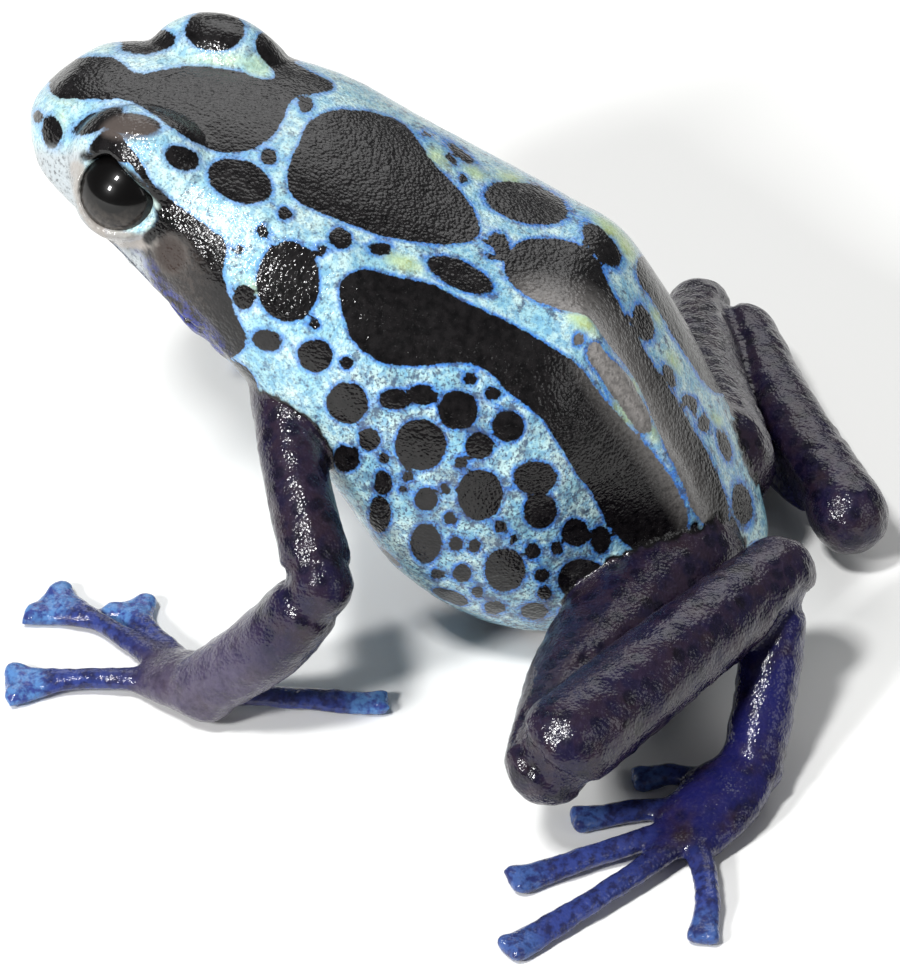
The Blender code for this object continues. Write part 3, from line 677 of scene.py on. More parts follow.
# Kinds of skin
# What each place on the skin belongs to, read from the nearest of the shapes beneath: head and
# trunk, or a limb, with how blue it is there and how far along a finger or toe it lies.
DISC_REACH = 2.2  # from a digit's tip to where its blue begins
place = points_of(skin.data)
ends = edges_of(skin.data)
count = len(place)
kinds, digit_ends = [], []
tree = kdtree.KDTree(sum(len(shape[0]) for shape in shapes))
for number, (points, _, limb, indigo, span) in enumerate(shapes):
    for point in points:
        tree.insert(point, len(kinds))
        kinds.append((limb, indigo, number))
        root, tip, blue = span or ((0.0, 0.0, 0.0), (0.0, 0.0, 0.0), 0.0)
        digit_ends.append((*root, *tip, blue))
tree.balance()
nearest = np.array([tree.find(point)[1] for point in place])
limb, indigo, source = np.array(kinds)[nearest].T
root, tip, blue = np.split(np.array(digit_ends)[nearest], (3, 6), axis=1)
length = np.linalg.norm(tip - root, axis=1)
from_tip = np.linalg.norm(place - tip, axis=1)
digit_share = np.where(length > 0, np.clip(1 - from_tip / np.maximum(length, 0.1), 0, 1), 0)
disc_share = np.where(length > 0, np.clip(DISC_REACH - from_tip, 0, 1) * blue[:, 0], 0)


def softened(values, rounds):
    """The values evened out over the skin."""
    for _ in range(rounds):
        values = 0.5 * (values + neighbour_mean(values, ends))
    return values


limb, indigo = softened(limb, 4), softened(indigo, 14)
digit_share, disc_share = softened(digit_share, 3), softened(disc_share, 2)

# The photograph's view
# Where the camera stood, which way it looked and how it was turned. The markings below are placed
# through it, and the camera at the end of the script uses it too.
CAMERA = np.array((226.97457841, 53.2782023, 196.79611731))
AHEAD = np.array((-0.75252045, -0.16153086, -0.63845184))
ACROSS = np.array((-0.25056161, 0.96677051, 0.05073125))
ABOVE = np.array((-0.60904175, -0.19814783, 0.76798801))
FOCAL = 6100.86  # in the photograph's pixels
PHOTO_SIZE = (900, 965)


def in_photo(points):
    """Where the points fall in the photograph, in its pixels."""
    away = points - CAMERA
    depth = away @ AHEAD
    x = PHOTO_SIZE[0] / 2 + FOCAL * (away @ ACROSS) / depth
    y = PHOTO_SIZE[1] / 2 - FOCAL * (away @ ABOVE) / depth
    return np.stack([x, y], -1)


# Markings
# Charcoal spots in a pale blue net. Large blotches are outlines, small spots are ellipses: middle
# x and y, half width, half height and turn, all in the photograph's pixels.
BLOTCHES = {
    "head": (
        (47, 86), (57, 63), (86, 56), (115, 56), (126, 67), (138, 75), (161, 70), (195, 64),
        (235, 70), (262, 80), (274, 80), (276, 72), (266, 64), (256, 52), (254, 36), (266, 31),
        (280, 38), (286, 54), (302, 68), (334, 82), (334, 92), (290, 96),
        (284, 120), (267, 144), (230, 156), (195, 144), (161, 120), (129, 98), (95, 100), (55, 99),
    ),
    "mask": (
        (116, 150), (128, 144), (140, 160), (152, 184), (178, 205), (205, 225), (230, 242),
        (222, 268), (226, 290), (236, 315), (250, 345), (225, 364), (200, 345), (170, 325),
        (140, 300), (110, 262), (100, 240), (122, 243), (150, 238), (163, 215), (150, 190),
        (134, 168),
    ),
    "brow": (
        (86, 154), (94, 138), (106, 130), (122, 133), (126, 146), (138, 164), (120, 162),
        (100, 156),
    ),
    "saddle": (
        (306, 124), (322, 112), (347, 108), (379, 113), (402, 122), (416, 135), (430, 160),
        (450, 179), (471, 204), (481, 227), (478, 241), (443, 245), (407, 241), (379, 236),
        (342, 222), (315, 211), (292, 199), (286, 181), (290, 160), (299, 142),
    ),
    "flank band": (
        (338, 287), (347, 275), (365, 267), (395, 277), (430, 282), (453, 296), (487, 312),
        (521, 328), (561, 353), (578, 364), (589, 378), (612, 409), (646, 446), (674, 485),
        (688, 524), (688, 560), (660, 575), (642, 557), (621, 541), (605, 520), (589, 488),
        (576, 474), (555, 437), (539, 414), (515, 399), (492, 374), (471, 362), (441, 364),
        (414, 367), (384, 365), (365, 353), (349, 337), (342, 310),
    ),
    "hip band": (
        (514, 243), (536, 237), (564, 239), (584, 246), (598, 260), (606, 277), (617, 300),
        (626, 316), (637, 336), (648, 356), (662, 378), (674, 395), (685, 415), (699, 437),
        (713, 462), (724, 490), (730, 513), (728, 528), (718, 531), (702, 524), (689, 513),
        (682, 493), (674, 476), (664, 457), (655, 434), (648, 415), (641, 395), (633, 378),
        (622, 364), (612, 353), (601, 342), (592, 328), (578, 315), (559, 309), (536, 302),
        (519, 291), (505, 277), (504, 260),
    ),
    "ridge": (
        (588, 342), (595, 344), (603, 358), (615, 367), (626, 378), (637, 396), (646, 415),
        (648, 431), (640, 437), (629, 423), (617, 403), (606, 389), (598, 373), (589, 364),
        (585, 353),
    ),
    "far flank": (
        (640, 250), (672, 268), (698, 300), (722, 342), (742, 385), (722, 396), (707, 388),
        (688, 358), (674, 339), (662, 316), (648, 294), (634, 277),
    ),
}
SPOTS = (
    (215, 30, 30, 21), (148, 42, 28, 12, -8), (52, 132, 10, 17, -5), (38, 117, 5, 6),
    (132, 124, 28, 11, 5), (182, 158, 18, 12, 20), (240, 182, 33, 22, 20), (98, 121, 28, 9, -24),
    (288, 282, 32, 40), (244, 297, 11, 13), (263, 233, 6, 6), (239, 250, 5, 5), (285, 215, 8, 8),
    (340, 240, 12, 12), (318, 253, 9, 6, -30), (380, 249, 12, 7), (267, 340, 16, 11, 10),
    (315, 356, 18, 17), (314, 324, 6, 6), (347, 363, 7, 7), (306, 105, 8, 8), (269, 157, 9, 9),
    (427, 134, 5, 5), (450, 159, 6, 6), (464, 179, 5, 5), (498, 238, 8, 8), (492, 252, 9, 9),
    (461, 154, 18, 5, 38), (526, 203, 43, 20, 15), (460, 275, 36, 14, 25), (602, 245, 28, 12, 50),
    (643, 323, 10, 20, -18), (669, 376, 6, 13, -20), (690, 403, 8, 9, -30), (704, 424, 7, 9, -30),
    (724, 445, 6, 16, -18), (742, 504, 10, 22, -10), (578, 340, 5, 6), (347, 403, 21, 21),
    (395, 399, 16, 11), (422, 395, 14, 11), (458, 410, 20, 20), (470, 379, 7, 7), (493, 394, 8, 8),
    (508, 426, 16.5, 16.5), (420.5, 445, 26, 26), (479, 446, 14, 14), (370, 439.5, 11.5, 11.5),
    (347, 458, 14, 14), (384, 458, 6, 6), (461, 462.5, 7, 7), (408, 476, 6.5, 6.5), (383, 483, 9, 13),
    (403, 490, 5, 5), (426, 499, 12, 12), (445, 489, 6, 6), (380, 514, 11, 19), (480, 495, 23, 26),
    (535, 478, 22, 17), (540, 511, 17, 18), (575.5, 532.5, 14, 14), (601, 540, 10, 15),
    (450, 519, 7, 7), (501, 527, 7, 7), (513.5, 539, 5, 5), (456, 544, 7, 8), (474.5, 546, 7, 7),
    (426, 543, 15.5, 20), (533, 551, 9, 9), (557, 548.5, 7, 7), (505, 570, 20.5, 22),
    (542, 575, 7.5, 7.5), (462, 573, 9.5, 9.5), (582, 579.5, 24, 21), (544.5, 593, 7.5, 7.5),
    (534, 611.5, 14, 9), (495, 607.5, 11, 7), (478, 592, 6, 6), (438, 574, 8, 5),
    (564, 614, 6.5, 6.5),
)
# Patches of their own colour: how soft the edge is, in pixels, and the outline.
PATCHES = {
    "face": (14, (
        (36, 146), (52, 150), (66, 150), (78, 146), (88, 152), (80, 170), (79, 195), (86, 216),
        (100, 232), (120, 243), (136, 250), (146, 264), (150, 290), (130, 300), (20, 200), (20, 160),
    )),
    "violet": (16, (
        (105, 240), (128, 246), (150, 262), (160, 286), (186, 304), (206, 328), (232, 358),
        (215, 385), (170, 350), (120, 300), (90, 250),
    )),
    # Sand-grey over the hip ridge: partly the skin's own greyish tone, partly painted sheen where the
    # raised ridge catches the light.
    "sandy": (40, (
        (520, 285), (560, 292), (590, 300), (612, 330), (640, 380), (672, 440), (700, 500),
        (712, 530), (690, 520), (668, 480), (640, 440), (612, 405), (590, 370), (580, 335),
        (555, 312), (525, 300),
    )),
    "ridge strip": (12, (
        (590, 338), (606, 346), (622, 362), (638, 390), (648, 425), (640, 436), (622, 410),
        (604, 386), (590, 366), (582, 348),
    )),
    "flank": (60, (
        (330, 385), (420, 370), (480, 370), (540, 420), (600, 500), (660, 580), (600, 660),
        (480, 650), (380, 580), (330, 480),
    )),
    "cheek": (20, (
        (146, 244), (165, 236), (186, 240), (204, 262), (214, 292), (232, 326), (232, 346),
        (206, 334), (176, 304), (152, 270),
    )),
    "lid patch": (6, (
        (98, 134), (104, 122), (120, 114), (138, 114), (154, 123), (162, 133), (146, 139),
        (120, 141),
    )),
}
# Strips along the lids: half the width in millimetres, and the line.
LID_STRIPS = {
    "lower lid": (0.38, (
        (77, 168), (79, 182), (82, 196), (86, 210), (96, 224), (106, 232), (125, 239), (140, 242),
        (150, 239),
    )),
    "upper lid": (0.22, ((84, 156), (98, 157), (111, 161), (131, 176), (149, 190), (160, 203))),
    # The pale line along the upper lid's edge is a painted highlight.
    "lid edge": (0.1, ((114, 169), (131, 182), (147, 195), (157, 206))),
    "rear lid": (0.36, ((156, 194), (162, 206), (163, 220), (158, 230), (150, 238))),
}
STRIP_BLUR = 0.15
EARDRUM_OVAL = (170, 255, 15, 20, -20)
EARDRUM_BLUR = 4
EARDRUM_RIM_BLUR = 2.5
LEMON_PLACES = (
    (437, 158, 12, 8, 30), (475, 172, 10, 6, 30), (512, 180, 14, 7, 20), (609, 228, 18, 6, 35),
    (626, 246, 16, 6, 60), (580, 323, 16, 7, 40), (633, 387, 10, 5, 60), (623, 412, 16, 6, 60),
    (655, 316, 8, 5, 60), (673, 361, 10, 5, 60), (648, 431, 8, 5, 60), (717, 420, 7, 4, 60),
    (402, 262, 20, 7, 20), (250, 288, 10, 10), (66, 96, 16, 8), (258, 66, 14, 12),
    (220, 60, 30, 6), (60, 122, 8, 14),
)
LEMON_BLUR = 7
PIXELS_PER_MM = 21.0
HEAD_ONLY = ("face", "cheek", "lid patch", "lower lid", "upper lid", "lid edge", "drum rim")
HEAD_END = -5.0  # along Y
FOREARM_SHEEN_REACH = 7.0  # of the painted sheen on forearms and hands, from the wrists
ARMS_END = 8.0  # along Y
SEAM_START = 0.16  # how far past square to the view the photograph's pattern reaches
SEAM_SPAN = 0.18
SEAM_ROUNDS = 5


def rounded(outline, rounds=2):
    """The outline with its corners cut, again and again, until it runs smooth."""
    outline = np.array(outline, float)
    for _ in range(rounds):
        following = np.roll(outline, -1, axis=0)
        cut = np.stack([0.75 * outline + 0.25 * following, 0.25 * outline + 0.75 * following], 1)
        outline = cut.reshape(-1, 2)
    return outline


def from_sides(pixels, starts, ends):
    """How far each pixel place is from the nearest of the straight sides."""
    nearest = np.full(len(pixels), np.inf)
    for a, b in zip(starts, ends):
        side = b - a
        t = np.clip((pixels - a) @ side / (side @ side), 0, 1)
        nearest = np.minimum(nearest, np.sum((pixels - a - t[:, None] * side) ** 2, axis=1))
    return np.sqrt(nearest)


def inside_outline(pixels, outline):
    """How far each pixel place is inside the rounded outline, less than 0 outside."""
    outline = rounded(outline)
    following = np.roll(outline, -1, axis=0)
    inside = np.zeros(len(pixels), bool)
    for a, b in zip(outline, following):
        if a[1] != b[1]:
            crosses = (a[1] > pixels[:, 1]) != (b[1] > pixels[:, 1])
            at = a[0] + (pixels[:, 1] - a[1]) * (b[0] - a[0]) / (b[1] - a[1])
            inside ^= crosses & (pixels[:, 0] < at)
    return np.where(inside, 1, -1) * from_sides(pixels, outline, following)


def inside_ellipse(pixels, x, y, wide, high, turn=0):
    """How far each pixel place is inside the ellipse, less than 0 outside."""
    turn = np.radians(turn)
    dx, dy = pixels[:, 0] - x, pixels[:, 1] - y
    along = (dx * np.cos(turn) + dy * np.sin(turn)) / wide
    over = (dy * np.cos(turn) - dx * np.sin(turn)) / high
    return (1 - np.hypot(along, over)) * min(wide, high)


def near_line(pixels, line):
    """How far each pixel place is from the line, in millimetres."""
    line = np.array(line, float)
    return from_sides(pixels, line[:-1], line[1:]) / PIXELS_PER_MM


def across_the_middle(points):
    """The points carried across the frog's own middle plane, which bends with its head."""
    x, turn = smooth(SPINE[:, 0], SPINE[:, 1:3], points[:, 1]).T
    turn, level = np.radians(turn), np.zeros(len(points))
    left = np.stack([np.cos(turn), np.sin(turn), level], -1)
    offset = np.sum((points - np.stack([x, points[:, 1], level], -1)) * left, axis=1)
    return points - 2 * offset[:, None] * left


# Where the skin faces the photograph's view, 1, and where its pattern is carried over, 0.
skin.data.update()
normal = np.empty(count * 3, np.float32)
skin.data.vertices.foreach_get("normal", normal)
normal = normal.reshape(-1, 3).astype(float)
to_camera = CAMERA - place
to_camera /= np.linalg.norm(to_camera, axis=1)[:, None]
facing = np.clip((np.sum(normal * to_camera, axis=1) + SEAM_START) / SEAM_SPAN, 0, 1)
facing = softened(facing, SEAM_ROUNDS)
facing = facing * facing * (3 - 2 * facing)
seen, carried = in_photo(place), in_photo(across_the_middle(place))


def on_markings(measure, *given):
    """The measure of all places in the photograph's view, from both sides of the frog."""
    return facing * measure(seen, *given) + (1 - facing) * measure(carried, *given)


def spots_at(pixels):
    """How far inside a dark spot each place is, in millimetres."""
    best = np.full(len(pixels), -60.0)
    for outline in BLOTCHES.values():
        best = np.maximum(best, inside_outline(pixels, outline))
    for spot in SPOTS:
        best = np.maximum(best, inside_ellipse(pixels, *spot))
    return best / PIXELS_PER_MM


spot = on_markings(spots_at)

# Unseen skin, below and behind the limbs, has a scatter of spots of the same kind.
SCATTER_GAP = 2.1
SCATTER_SIZES = (0.45, 1.0)
SCATTER_CLEARANCE = 0.7  # from the spots that are there
SCATTER_SEED = 11
UNDERSIDE = 0.35  # how squarely the skin faces the floor there
RUMP = (16, 8)  # behind this place along Y, and below this height
dice = np.random.default_rng(SCATTER_SEED)
unseen = (place[:, 1] > RUMP[0]) & (place[:, 2] < RUMP[1])
unseen |= (normal[:, 2] < -UNDERSIDE) | (facing < 0.5)
unseen &= (limb < 0.4) & (spot < -SCATTER_CLEARANCE)
seeds = []
for index in dice.permutation(np.flatnonzero(unseen)):
    if all(np.sum((place[index] - place[other]) ** 2) > SCATTER_GAP**2 for other in seeds):
        seeds.append(index)
for index in seeds:
    radius = dice.uniform(*SCATTER_SIZES)
    spot = np.maximum(spot, radius - np.linalg.norm(place - place[index], axis=1))


def soft_mask(pixels, measure, shape, blur):
    """1 well inside the shape, 0 well outside, and a soft step of the blur's width between."""
    return np.clip(0.5 + measure(pixels, *shape) / blur, 0, 1)


def strip_mask(pixels, wide, line):
    """1 within the strip along the line, and 0 outside."""
    return np.clip(0.5 + (wide - near_line(pixels, line)) / STRIP_BLUR, 0, 1)


def rim_mask(pixels):
    """1 on the eardrum's edge, fading to both sides."""
    return np.exp(-((inside_ellipse(pixels, *EARDRUM_OVAL) / EARDRUM_RIM_BLUR) ** 2))


masks = {"spot": spot, "limb": limb, "indigo": indigo, "digit": digit_share, "disc": disc_share}
for name, (blur, outline) in PATCHES.items():
    masks[name] = on_markings(soft_mask, inside_outline, [outline], blur)
for name, strip in LID_STRIPS.items():
    masks[name] = on_markings(strip_mask, *strip)
masks["sandy"] = np.maximum(masks["sandy"], masks.pop("ridge strip"))
masks["upper lid"] = np.maximum(masks["upper lid"], masks.pop("rear lid"))
masks["drum"] = on_markings(soft_mask, inside_ellipse, EARDRUM_OVAL, EARDRUM_BLUR)
masks["drum rim"] = on_markings(rim_mask)
masks["lemon"] = np.max(
    [on_markings(soft_mask, inside_ellipse, patch, LEMON_BLUR) for patch in LEMON_PLACES], axis=0
)
wrists = np.array([WRIST_LEFT, WRIST_RIGHT])
from_wrist = np.min(np.linalg.norm(place[:, None] - wrists, axis=2), axis=1)
# Painted sheen: forearms and hands turn lighter grey near the wrists, where they face the light.
masks["dusty"] = np.clip((FOREARM_SHEEN_REACH - from_wrist) / 3, 0, 1) * (1 - digit_share)
masks["dusty"] *= place[:, 1] < ARMS_END
for name in HEAD_ONLY:
    masks[name] = masks[name] * np.clip((HEAD_END - place[:, 1]) / 2, 0, 1)
for name, values in masks.items():
    values = np.asarray(values, np.float32)
    skin.data.attributes.new(name, "FLOAT", "POINT").data.foreach_set("value", values)

# Folds of the skin
# Low ridges over the hip bones and behind the eyes, creases where the limbs bend, the sunken
# eardrums, and the slack, uneven skin of throat, belly and limbs.
RIDGES = (  # height and half width in millimetres, and the line in the photograph
    (0.34, 0.5, ((583, 322), (600, 348), (622, 385), (648, 432), (676, 478), (692, 515))),
    (0.26, 0.9, ((196, 188), (228, 206), (262, 222), (300, 236), (340, 252))),
)
CREASE_DEPTH = 0.26
CREASE_SPREAD = 7  # in rounds of softening
CREASE_GAIN = 3.2
SLACK = 0.07
THROAT_SLACK = 0.3
THIGH_WRINKLES = 0.05
EARDRUM = (7.6, 11.23, 0.16)
EARDRUM_RADIUS = 1.15
EARDRUM_DEPTH = 0.15
EARDRUM_RIM = (0.04, 0.2)  # height and half width
LIDS_REACH = 2.6  # from the eye's middle, within which the skin lies smooth


def ridge(pixels, tall, wide, line):
    """A soft ridge's height along the line."""
    return tall * np.exp(-((near_line(pixels, line) / wide) ** 2))


relief = np.zeros(count)
away_from_eyes = np.ones(count)
for values in RIDGES:
    relief += (1 - limb) * on_markings(ridge, *values)
for hand, _ in HANDS:
    away = np.linalg.norm(place - head_point(hand * EARDRUM[0], *EARDRUM[1:]), axis=1)
    relief += EARDRUM_RIM[0] * np.exp(-(((away - EARDRUM_RADIUS) / EARDRUM_RIM[1]) ** 2))
    relief -= EARDRUM_DEPTH * np.clip(1 - (away / EARDRUM_RADIUS) ** 2, 0, 1)
    away = np.linalg.norm(place - head_point(hand * EYE[0], *EYE[1:]), axis=1)
    away_from_eyes *= np.clip(away - LIDS_REACH, 0.15, 1)
# The shapes start with the trunk and two rims of lids, and the limbs' segments come next.
meets = source[ends[:, 0]] != source[ends[:, 1]]
meets &= ((source[ends] >= 3) & (source[ends] < 3 + len(SEGMENTS))).all(axis=1)
crease = np.zeros(count)
crease[ends[meets].reshape(-1)] = 1.0
relief -= CREASE_DEPTH * np.clip(CREASE_GAIN * softened(crease, CREASE_SPREAD), 0, 1)
slack, fine, wrinkles = (
    np.array([noise.noise(Vector(point)) for point in place * scales])
    for scales in (0.9, 2.3, (2.4, 0.7, 0.7))
)
behind = np.clip((place[:, 1] - ARMS_END) / 4, 0, 1)
loose = 0.35 + 0.65 * np.maximum(np.clip(-normal[:, 2], 0, 1), limb)
relief += THROAT_SLACK * masks["violet"] * slack
relief += THIGH_WRINKLES * wrinkles * limb * behind * (digit_share < 0.01)
relief += SLACK * (slack + 0.5 * fine) * loose * away_from_eyes * (1 - 0.7 * disc_share)
place = place + normal * relief[:, None]
place[:, 2] = np.maximum(place[:, 2], 0.0)
skin.data.vertices.foreach_set("co", place.astype(np.float32).reshape(-1))

# Skin material
# Wet, finely granular skin under a thin film of slime: charcoal spots with an azure edge in a pale
# blue net on head and trunk, purple-brown on the limbs, and blue fingers and toes.
SKY = (148, 198, 212)
PALE = (212, 236, 230)
CLOUD_BLUE = (92, 154, 196)
AZURE = (48, 118, 208)
LEMON = (196, 214, 130)
CHARCOAL = (24, 22, 23)
SOOT = (6, 5, 6)
# The hip ridge's grey: partly its own tone, partly painted sheen.
SAND_AND_SHEEN_GREY = (150, 146, 143)
PLUM = (40, 29, 37)
NAVY = (24, 19, 36)
INDIGO_SKIN = (24, 26, 84)
BLOT_BLACK = (9, 7, 10)
# Lighter grey of the painted sheen on forearms and hands.
FOREARM_SHEEN_GREY = (84, 76, 92)
DUST_VIOLET = (84, 78, 104)
STIPPLE = (58, 66, 92)
LID_GREY = (158, 152, 146)
LID_BROWN = (86, 78, 74)
FINGER_BLUE = (52, 66, 132)
DISC_BLUE = (86, 130, 186)
FACE_GREY = (176, 184, 188)
DRUM_BROWN = (54, 44, 40)
VIOLET = (52, 66, 160)
SKIN_BUMP = 0.000062  # in metres


def colour(values):
    """A colour from its usual 0 to 255 values."""
    shares = np.array(values) / 255
    light = np.where(shares <= 0.04045, shares / 12.92, ((shares + 0.055) / 1.055) ** 2.4)
    return (*light.tolist(), 1.0)


def mix(share, first, second):
    """The first colour where the share is 0, the second where it is 1."""
    first, second = (
        given if isinstance(given, Socket) else colour(given) for given in (first, second)
    )
    node = Socket.tree.nodes.new("ShaderNodeMix")
    node.data_type = "RGBA"
    for index, value in ((0, share), (6, first), (7, second)):
        if isinstance(value, Socket):
            Socket.tree.links.new(value.end, node.inputs[index])
        else:
            node.inputs[index].default_value = value
    return Socket(node.outputs[2])


def layered(base, *layers):
    """The base colour, and over it each layer's colour where that layer's share is 1."""
    for share, over in layers:
        base = mix(share, base, over)
    return base


def material(made, base):
    """The material's shader, and the place on the object in millimetres."""
    made.use_nodes = True
    made.diffuse_color = colour(base)
    Socket.tree = made.node_tree
    where = Socket.node("ShaderNodeTexCoord", output="Object")
    where = Socket.node("ShaderNodeVectorMath", {"operation": "SCALE"}, {0: where, "Scale": 1000.0})
    return made.node_tree.nodes["Principled BSDF"], where


def link(shader, **sources):
    """Links sockets to the shader's inputs of the same names."""
    for name, source in sources.items():
        Socket.tree.links.new(source.end, shader.inputs[name.replace("_", " ")])


def uniform(shader, **values):
    """Sets the shader's inputs that are the same all over."""
    for name, value in values.items():
        shader.inputs[name.replace("_", " ")].default_value = value


def noise_at(where, scale, detail=3.0, rough=0.5):
    """Cloudy noise from 0 to 1, so many clouds to the millimetre."""
    values = {"Vector": where, "Scale": scale, "Detail": detail, "Roughness": rough}
    return Socket.node("ShaderNodeTexNoise", None, values)


def clouds(scale, low, high, rough=0.65, detail=3.0):
    """Clouds on the piece in hand: 1 where their noise is over the high value, 0 under the low one."""
    return noise_at(where, scale, detail, rough).step(low, high)


def attribute(name):
    """A value that the skin carries at its points."""
    return Socket.node("ShaderNodeAttribute", {"attribute_name": name}, output="Fac")


# The net between the spots, and the coal of the spots.
shader, where = material(skin_material, PLUM)
flank = attribute("flank")
ragged = attribute("spot") + 0.2 * (noise_at(where, 1.6) - 0.5) + 0.16 * (noise_at(where, 6.5) - 0.5)
near_spot = ragged.step(-0.24, -0.03)
front = Socket.node("ShaderNodeSeparateXYZ", None, {0: where}, "Y").step(4.0, -20.0)
cloud = noise_at(where, 2.4, 3.0, 0.7)
specks = clouds(7.0, 0.5, 0.62) * (0.45 + 0.4 * flank)
specks = specks + clouds(1.5, 0.52, 0.68, 0.7) * (0.75 - 0.45 * front)
specks = specks + clouds(0.9, 0.46, 0.62) * 0.45 * flank
net = layered(
    mix(clouds(0.6, 0.35, 0.65, 0.5) * 0.7 + front * 0.2, SKY, PALE),
    (near_spot * (0.95 - 0.45 * front) * cloud.step(0.25, 0.5), AZURE),
    (cloud.step(0.56, 0.4) * (0.6 - 0.2 * front), CLOUD_BLUE),
    (Socket.maths("MINIMUM", specks, 0.85), STIPPLE),
    (attribute("lemon") * (0.65 - 0.4 * front), LEMON),
)
coal = layered(
    mix(clouds(2.5, 0.3, 0.7, 0.5, 4.0), SOOT, CHARCOAL),
    # Sand-grey on the hip ridge's spots: the skin's own tone with painted sheen on the raised ridge.
    (attribute("sandy") * (0.45 + 0.4 * clouds(3.6, 0.3, 0.6)), SAND_AND_SHEEN_GREY),
)
trunk_colour = layered(
    mix(ragged.step(-0.03, 0.04), net, coal),
    (attribute("violet") * clouds(2.2, 0.4, 0.62, 0.7) * 0.9, VIOLET),
    (attribute("face"), mix(clouds(4.2, 0.48, 0.7) * 0.75, FACE_GREY, CHARCOAL)),
    (attribute("cheek") * (0.15 + 0.35 * clouds(2.6, 0.45, 0.65)), LID_BROWN),
    (attribute("drum") * 0.85, DRUM_BROWN),
    (attribute("drum rim") * 0.1, LID_GREY),
    (attribute("lid patch") * 0.85, LID_BROWN),
    (attribute("lower lid") * 0.9, LID_GREY),
    (attribute("upper lid"), SOOT),
    # Painted highlight: a pale line along the upper lid's edge.
    (attribute("lid edge") * 0.8, PALE),
    # Painted shade: the trunk turns black in a band where the limbs meet it, in the crease between
    # them.
    (attribute("limb").step(0.02, 0.28), SOOT),
)

# The limbs, with painted sheen on the forearms and hands near the wrists, and blue fingers and toes.
blots = Socket.node("ShaderNodeTexVoronoi", {"feature": "F1"}, {"Vector": where, "Scale": 1.1})
fine_clouds = clouds(2.2, 0.35, 0.6, 0.6, 2.5)
limb_colour = layered(
    mix(clouds(0.9, 0.42, 0.66, 0.6, 2.5), PLUM, NAVY),
    (blots.step(0.5, 0.3) * 0.8, BLOT_BLACK),
    # Painted sheen: lighter grey on forearms and hands near the wrists.
    (attribute("dusty") * (0.5 + 0.5 * clouds(2.4, 0.3, 0.65)), FOREARM_SHEEN_GREY),
    (attribute("indigo") * clouds(0.7, 0.2, 0.6, 0.5), INDIGO_SKIN),
    (attribute("digit").step(0.0, 0.55) * 0.9, mix(0.3 + 0.7 * fine_clouds, NAVY, FINGER_BLUE)),
    (attribute("disc").step(0.1, 0.8), mix(fine_clouds, FINGER_BLUE, DISC_BLUE)),
    (clouds(5.0, 0.5, 0.75, 0.6) * 0.16, DUST_VIOLET),
)
skin_colour = mix(attribute("limb").step(0.3, 0.7), trunk_colour, limb_colour)

# The grain, and the film of slime, thick on the back and thin on the sides that face the floor.
grains = Socket.node("ShaderNodeTexVoronoi", {"feature": "F1"}, {"Vector": where, "Scale": 5.6})
height = (1 - grains) * 0.45 + noise_at(where, 1.6, 4.0, 0.62) * 1.2
bump_values = {"Height": height, "Strength": 0.9, "Distance": SKIN_BUMP}
bump = Socket.node("ShaderNodeBump", None, bump_values)
facing_up = Socket.node("ShaderNodeNewGeometry", output="Normal")
facing_up = Socket.node("ShaderNodeSeparateXYZ", None, {0: facing_up}, "Z")
slime = facing_up.step(0.2, 0.9) * (0.06 + 0.14 * clouds(2.6, 0.35, 0.6, 0.6, 2.5))
rough = 0.06 + 0.12 * noise_at(where, 1.8)
link(shader, Base_Color=skin_colour, Normal=bump, Roughness=rough, Coat_Weight=slime)
uniform(shader, Coat_Roughness=0.42, Specular_IOR_Level=0.42)
skin.data.materials.clear()
skin.data.materials.append(skin_material)
skin.data.shade_smooth()

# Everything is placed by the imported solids: the left eyeball's middle sets where the frog stands.
low, high = (np.array(corner) * 1000 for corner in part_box("eye_left"))
MIDDLE = head_point(*EYE) - (low + high) / 2
MIDDLE[2] = 0.0


def set_in_frame(piece):
    """Moves a piece from the frog's own millimetres to the shared frame's metres."""
    points = (points_of(piece.data) - MIDDLE) * 0.001
    piece.data.vertices.foreach_set("co", points.astype(np.float32).reshape(-1))
    piece.data.update()


set_in_frame(skin)
flesh_nodes = [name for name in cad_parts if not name.startswith("eye")]
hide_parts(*flesh_nodes)
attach(skin, "root")

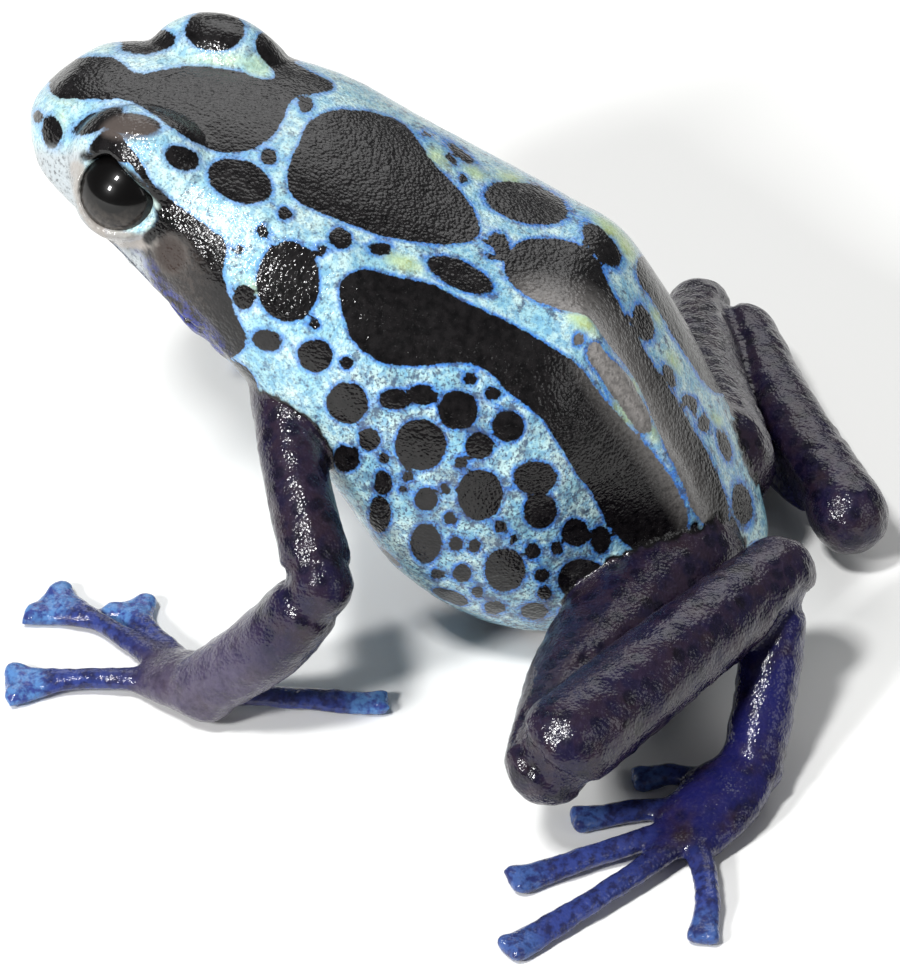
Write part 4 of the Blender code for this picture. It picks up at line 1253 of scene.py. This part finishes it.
# Eyes
# Dark, round, wet eyeballs with a black pupil in a brown iris, set under the lids. The iris shows only
# low down, as a painted reflection of the pale floor, and turns black higher up.
EYE_FULLNESS = 1.02  # so that the lids lie on it without a gap
PUPIL_RADIUS = 0.8
IRIS_BROWN = (78, 72, 67)
IRIS_DARK = (44, 40, 38)
EYE_BLACK = (6, 5, 5)
PUPIL_EDGE = (0.05, 0.08)  # how soft it is, inwards and outwards
IRIS_REFLECTION_HEIGHTS = (-1.0, 0.9)  # heights over which the iris turns from its painted floor reflection, low down, to black towards the upper lid
for hand, side in HANDS:
    eye = head_point(hand * EYE[0], *EYE[1:])
    way = head_way(hand, EYE_REARWARD, EYE_UPWARD)
    eyeball = ball("eyeball_" + side, eye, EYE_RADIUS * EYE_FULLNESS, 0.0, 64)
    set_in_frame(eyeball)
    eye_material = bpy.data.materials.new("wet eye " + side)
    shader, where = material(eye_material, EYE_BLACK)
    centre = (eye - MIDDLE).tolist()
    from_centre = Socket.node("ShaderNodeVectorMath", {"operation": "SUBTRACT"}, {0: where, 1: centre})
    values = {0: from_centre, 1: way.tolist()}
    ahead = Socket.node("ShaderNodeVectorMath", {"operation": "DOT_PRODUCT"}, values, 1)
    aside = Socket.maths("SQRT", EYE_RADIUS**2 - ahead * ahead)
    iris = mix(clouds(4.0, 0.35, 0.7, 0.5, 4.0), IRIS_DARK, IRIS_BROWN)
    above = Socket.node("ShaderNodeSeparateXYZ", None, {0: from_centre}, "Z")
    # Painted reflection: the brown iris, lit by the pale floor, shows only low on the eyeball and fades
    # to black above.
    iris = mix(above.step(*IRIS_REFLECTION_HEIGHTS), iris, EYE_BLACK)
    pupil = aside.step(PUPIL_RADIUS - PUPIL_EDGE[0], PUPIL_RADIUS + PUPIL_EDGE[1])
    link(shader, Base_Color=mix(pupil, EYE_BLACK, iris))
    uniform(
        shader, Roughness=0.3, Specular_IOR_Level=0.1, Coat_Weight=0.6, Coat_Roughness=0.03
    )
    eyeball.data.materials.append(eye_material)
    eyeball.data.shade_smooth()
    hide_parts("eye_" + side)
    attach(eyeball, "root")

# Floor, lights and camera
# A pale floor, a tall soft light from the frog's left front, and a broad one behind and above for
# the sheen on its back. The camera stands where the photographer's did.
FLOOR_WHITE = (248, 248, 246)
FLOOR_SIZE = 8.0  # in metres
STUDIO_TINT = (0.95, 0.97, 1.0, 1.0)
STUDIO_STRENGTH = 0.12
bpy.ops.mesh.primitive_plane_add(size=FLOOR_SIZE)
floor = bpy.context.object
floor.name = "floor"
floor_material = bpy.data.materials.new("pale floor")
shader, _ = material(floor_material, FLOOR_WHITE)
uniform(shader, Base_Color=colour(FLOOR_WHITE), Roughness=0.9, Specular_IOR_Level=0.1)
floor.data.materials.append(floor_material)
floor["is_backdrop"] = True

# Each light: the way it stands from the frog in degrees round and up, its distance, sizes and power.
LAMPS = (
    ("high key light", -28, 62, 0.45, 0.045, 0.07, 1.4),
    ("low key light", -30, 34, 0.45, 0.045, 0.07, 1.4),
    ("back light", 190, 42, 0.5, 0.42, 0.3, 0.75),
    ("side light", 75, 30, 0.6, 0.2, 0.3, 0.35),
)
for name, around, above, distance, wide, tall, power in LAMPS:
    lamp = bpy.data.lights.new(name, "AREA")
    lamp.shape = "RECTANGLE"
    lamp.size = wide
    lamp.size_y = tall
    lamp.energy = power
    light = bpy.data.objects.new(name, lamp)
    around, above = np.radians(around), np.radians(above)
    way = Vector((np.cos(around) * np.cos(above), np.sin(around) * np.cos(above), np.sin(above)))
    light.location = way * distance
    light.rotation_euler = way.to_track_quat("Z", "Y").to_euler()
    bpy.context.scene.collection.objects.link(light)
world = bpy.data.worlds.new("studio")
world.use_nodes = True
uniform(world.node_tree.nodes["Background"], Color=STUDIO_TINT, Strength=STUDIO_STRENGTH)
bpy.context.scene.world = world
bpy.context.scene.view_settings.view_transform = "Standard"

lens = bpy.data.cameras.new("camera")
lens.sensor_width = 36.0
lens.lens = FOCAL * lens.sensor_width / max(PHOTO_SIZE)
lens.clip_start = 0.01
camera = bpy.data.objects.new("camera", lens)
turned = Matrix(np.stack([ACROSS, ABOVE, -AHEAD], -1).tolist()).to_4x4()
camera.matrix_world = Matrix.Translation(((CAMERA - MIDDLE) * 0.001).tolist()) @ turned
bpy.context.scene.collection.objects.link(camera)
bpy.context.scene.camera = camera

boxes = {"cad": cad_box, "visual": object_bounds()}
{name: [list(corner) for corner in box] for name, box in boxes.items()}
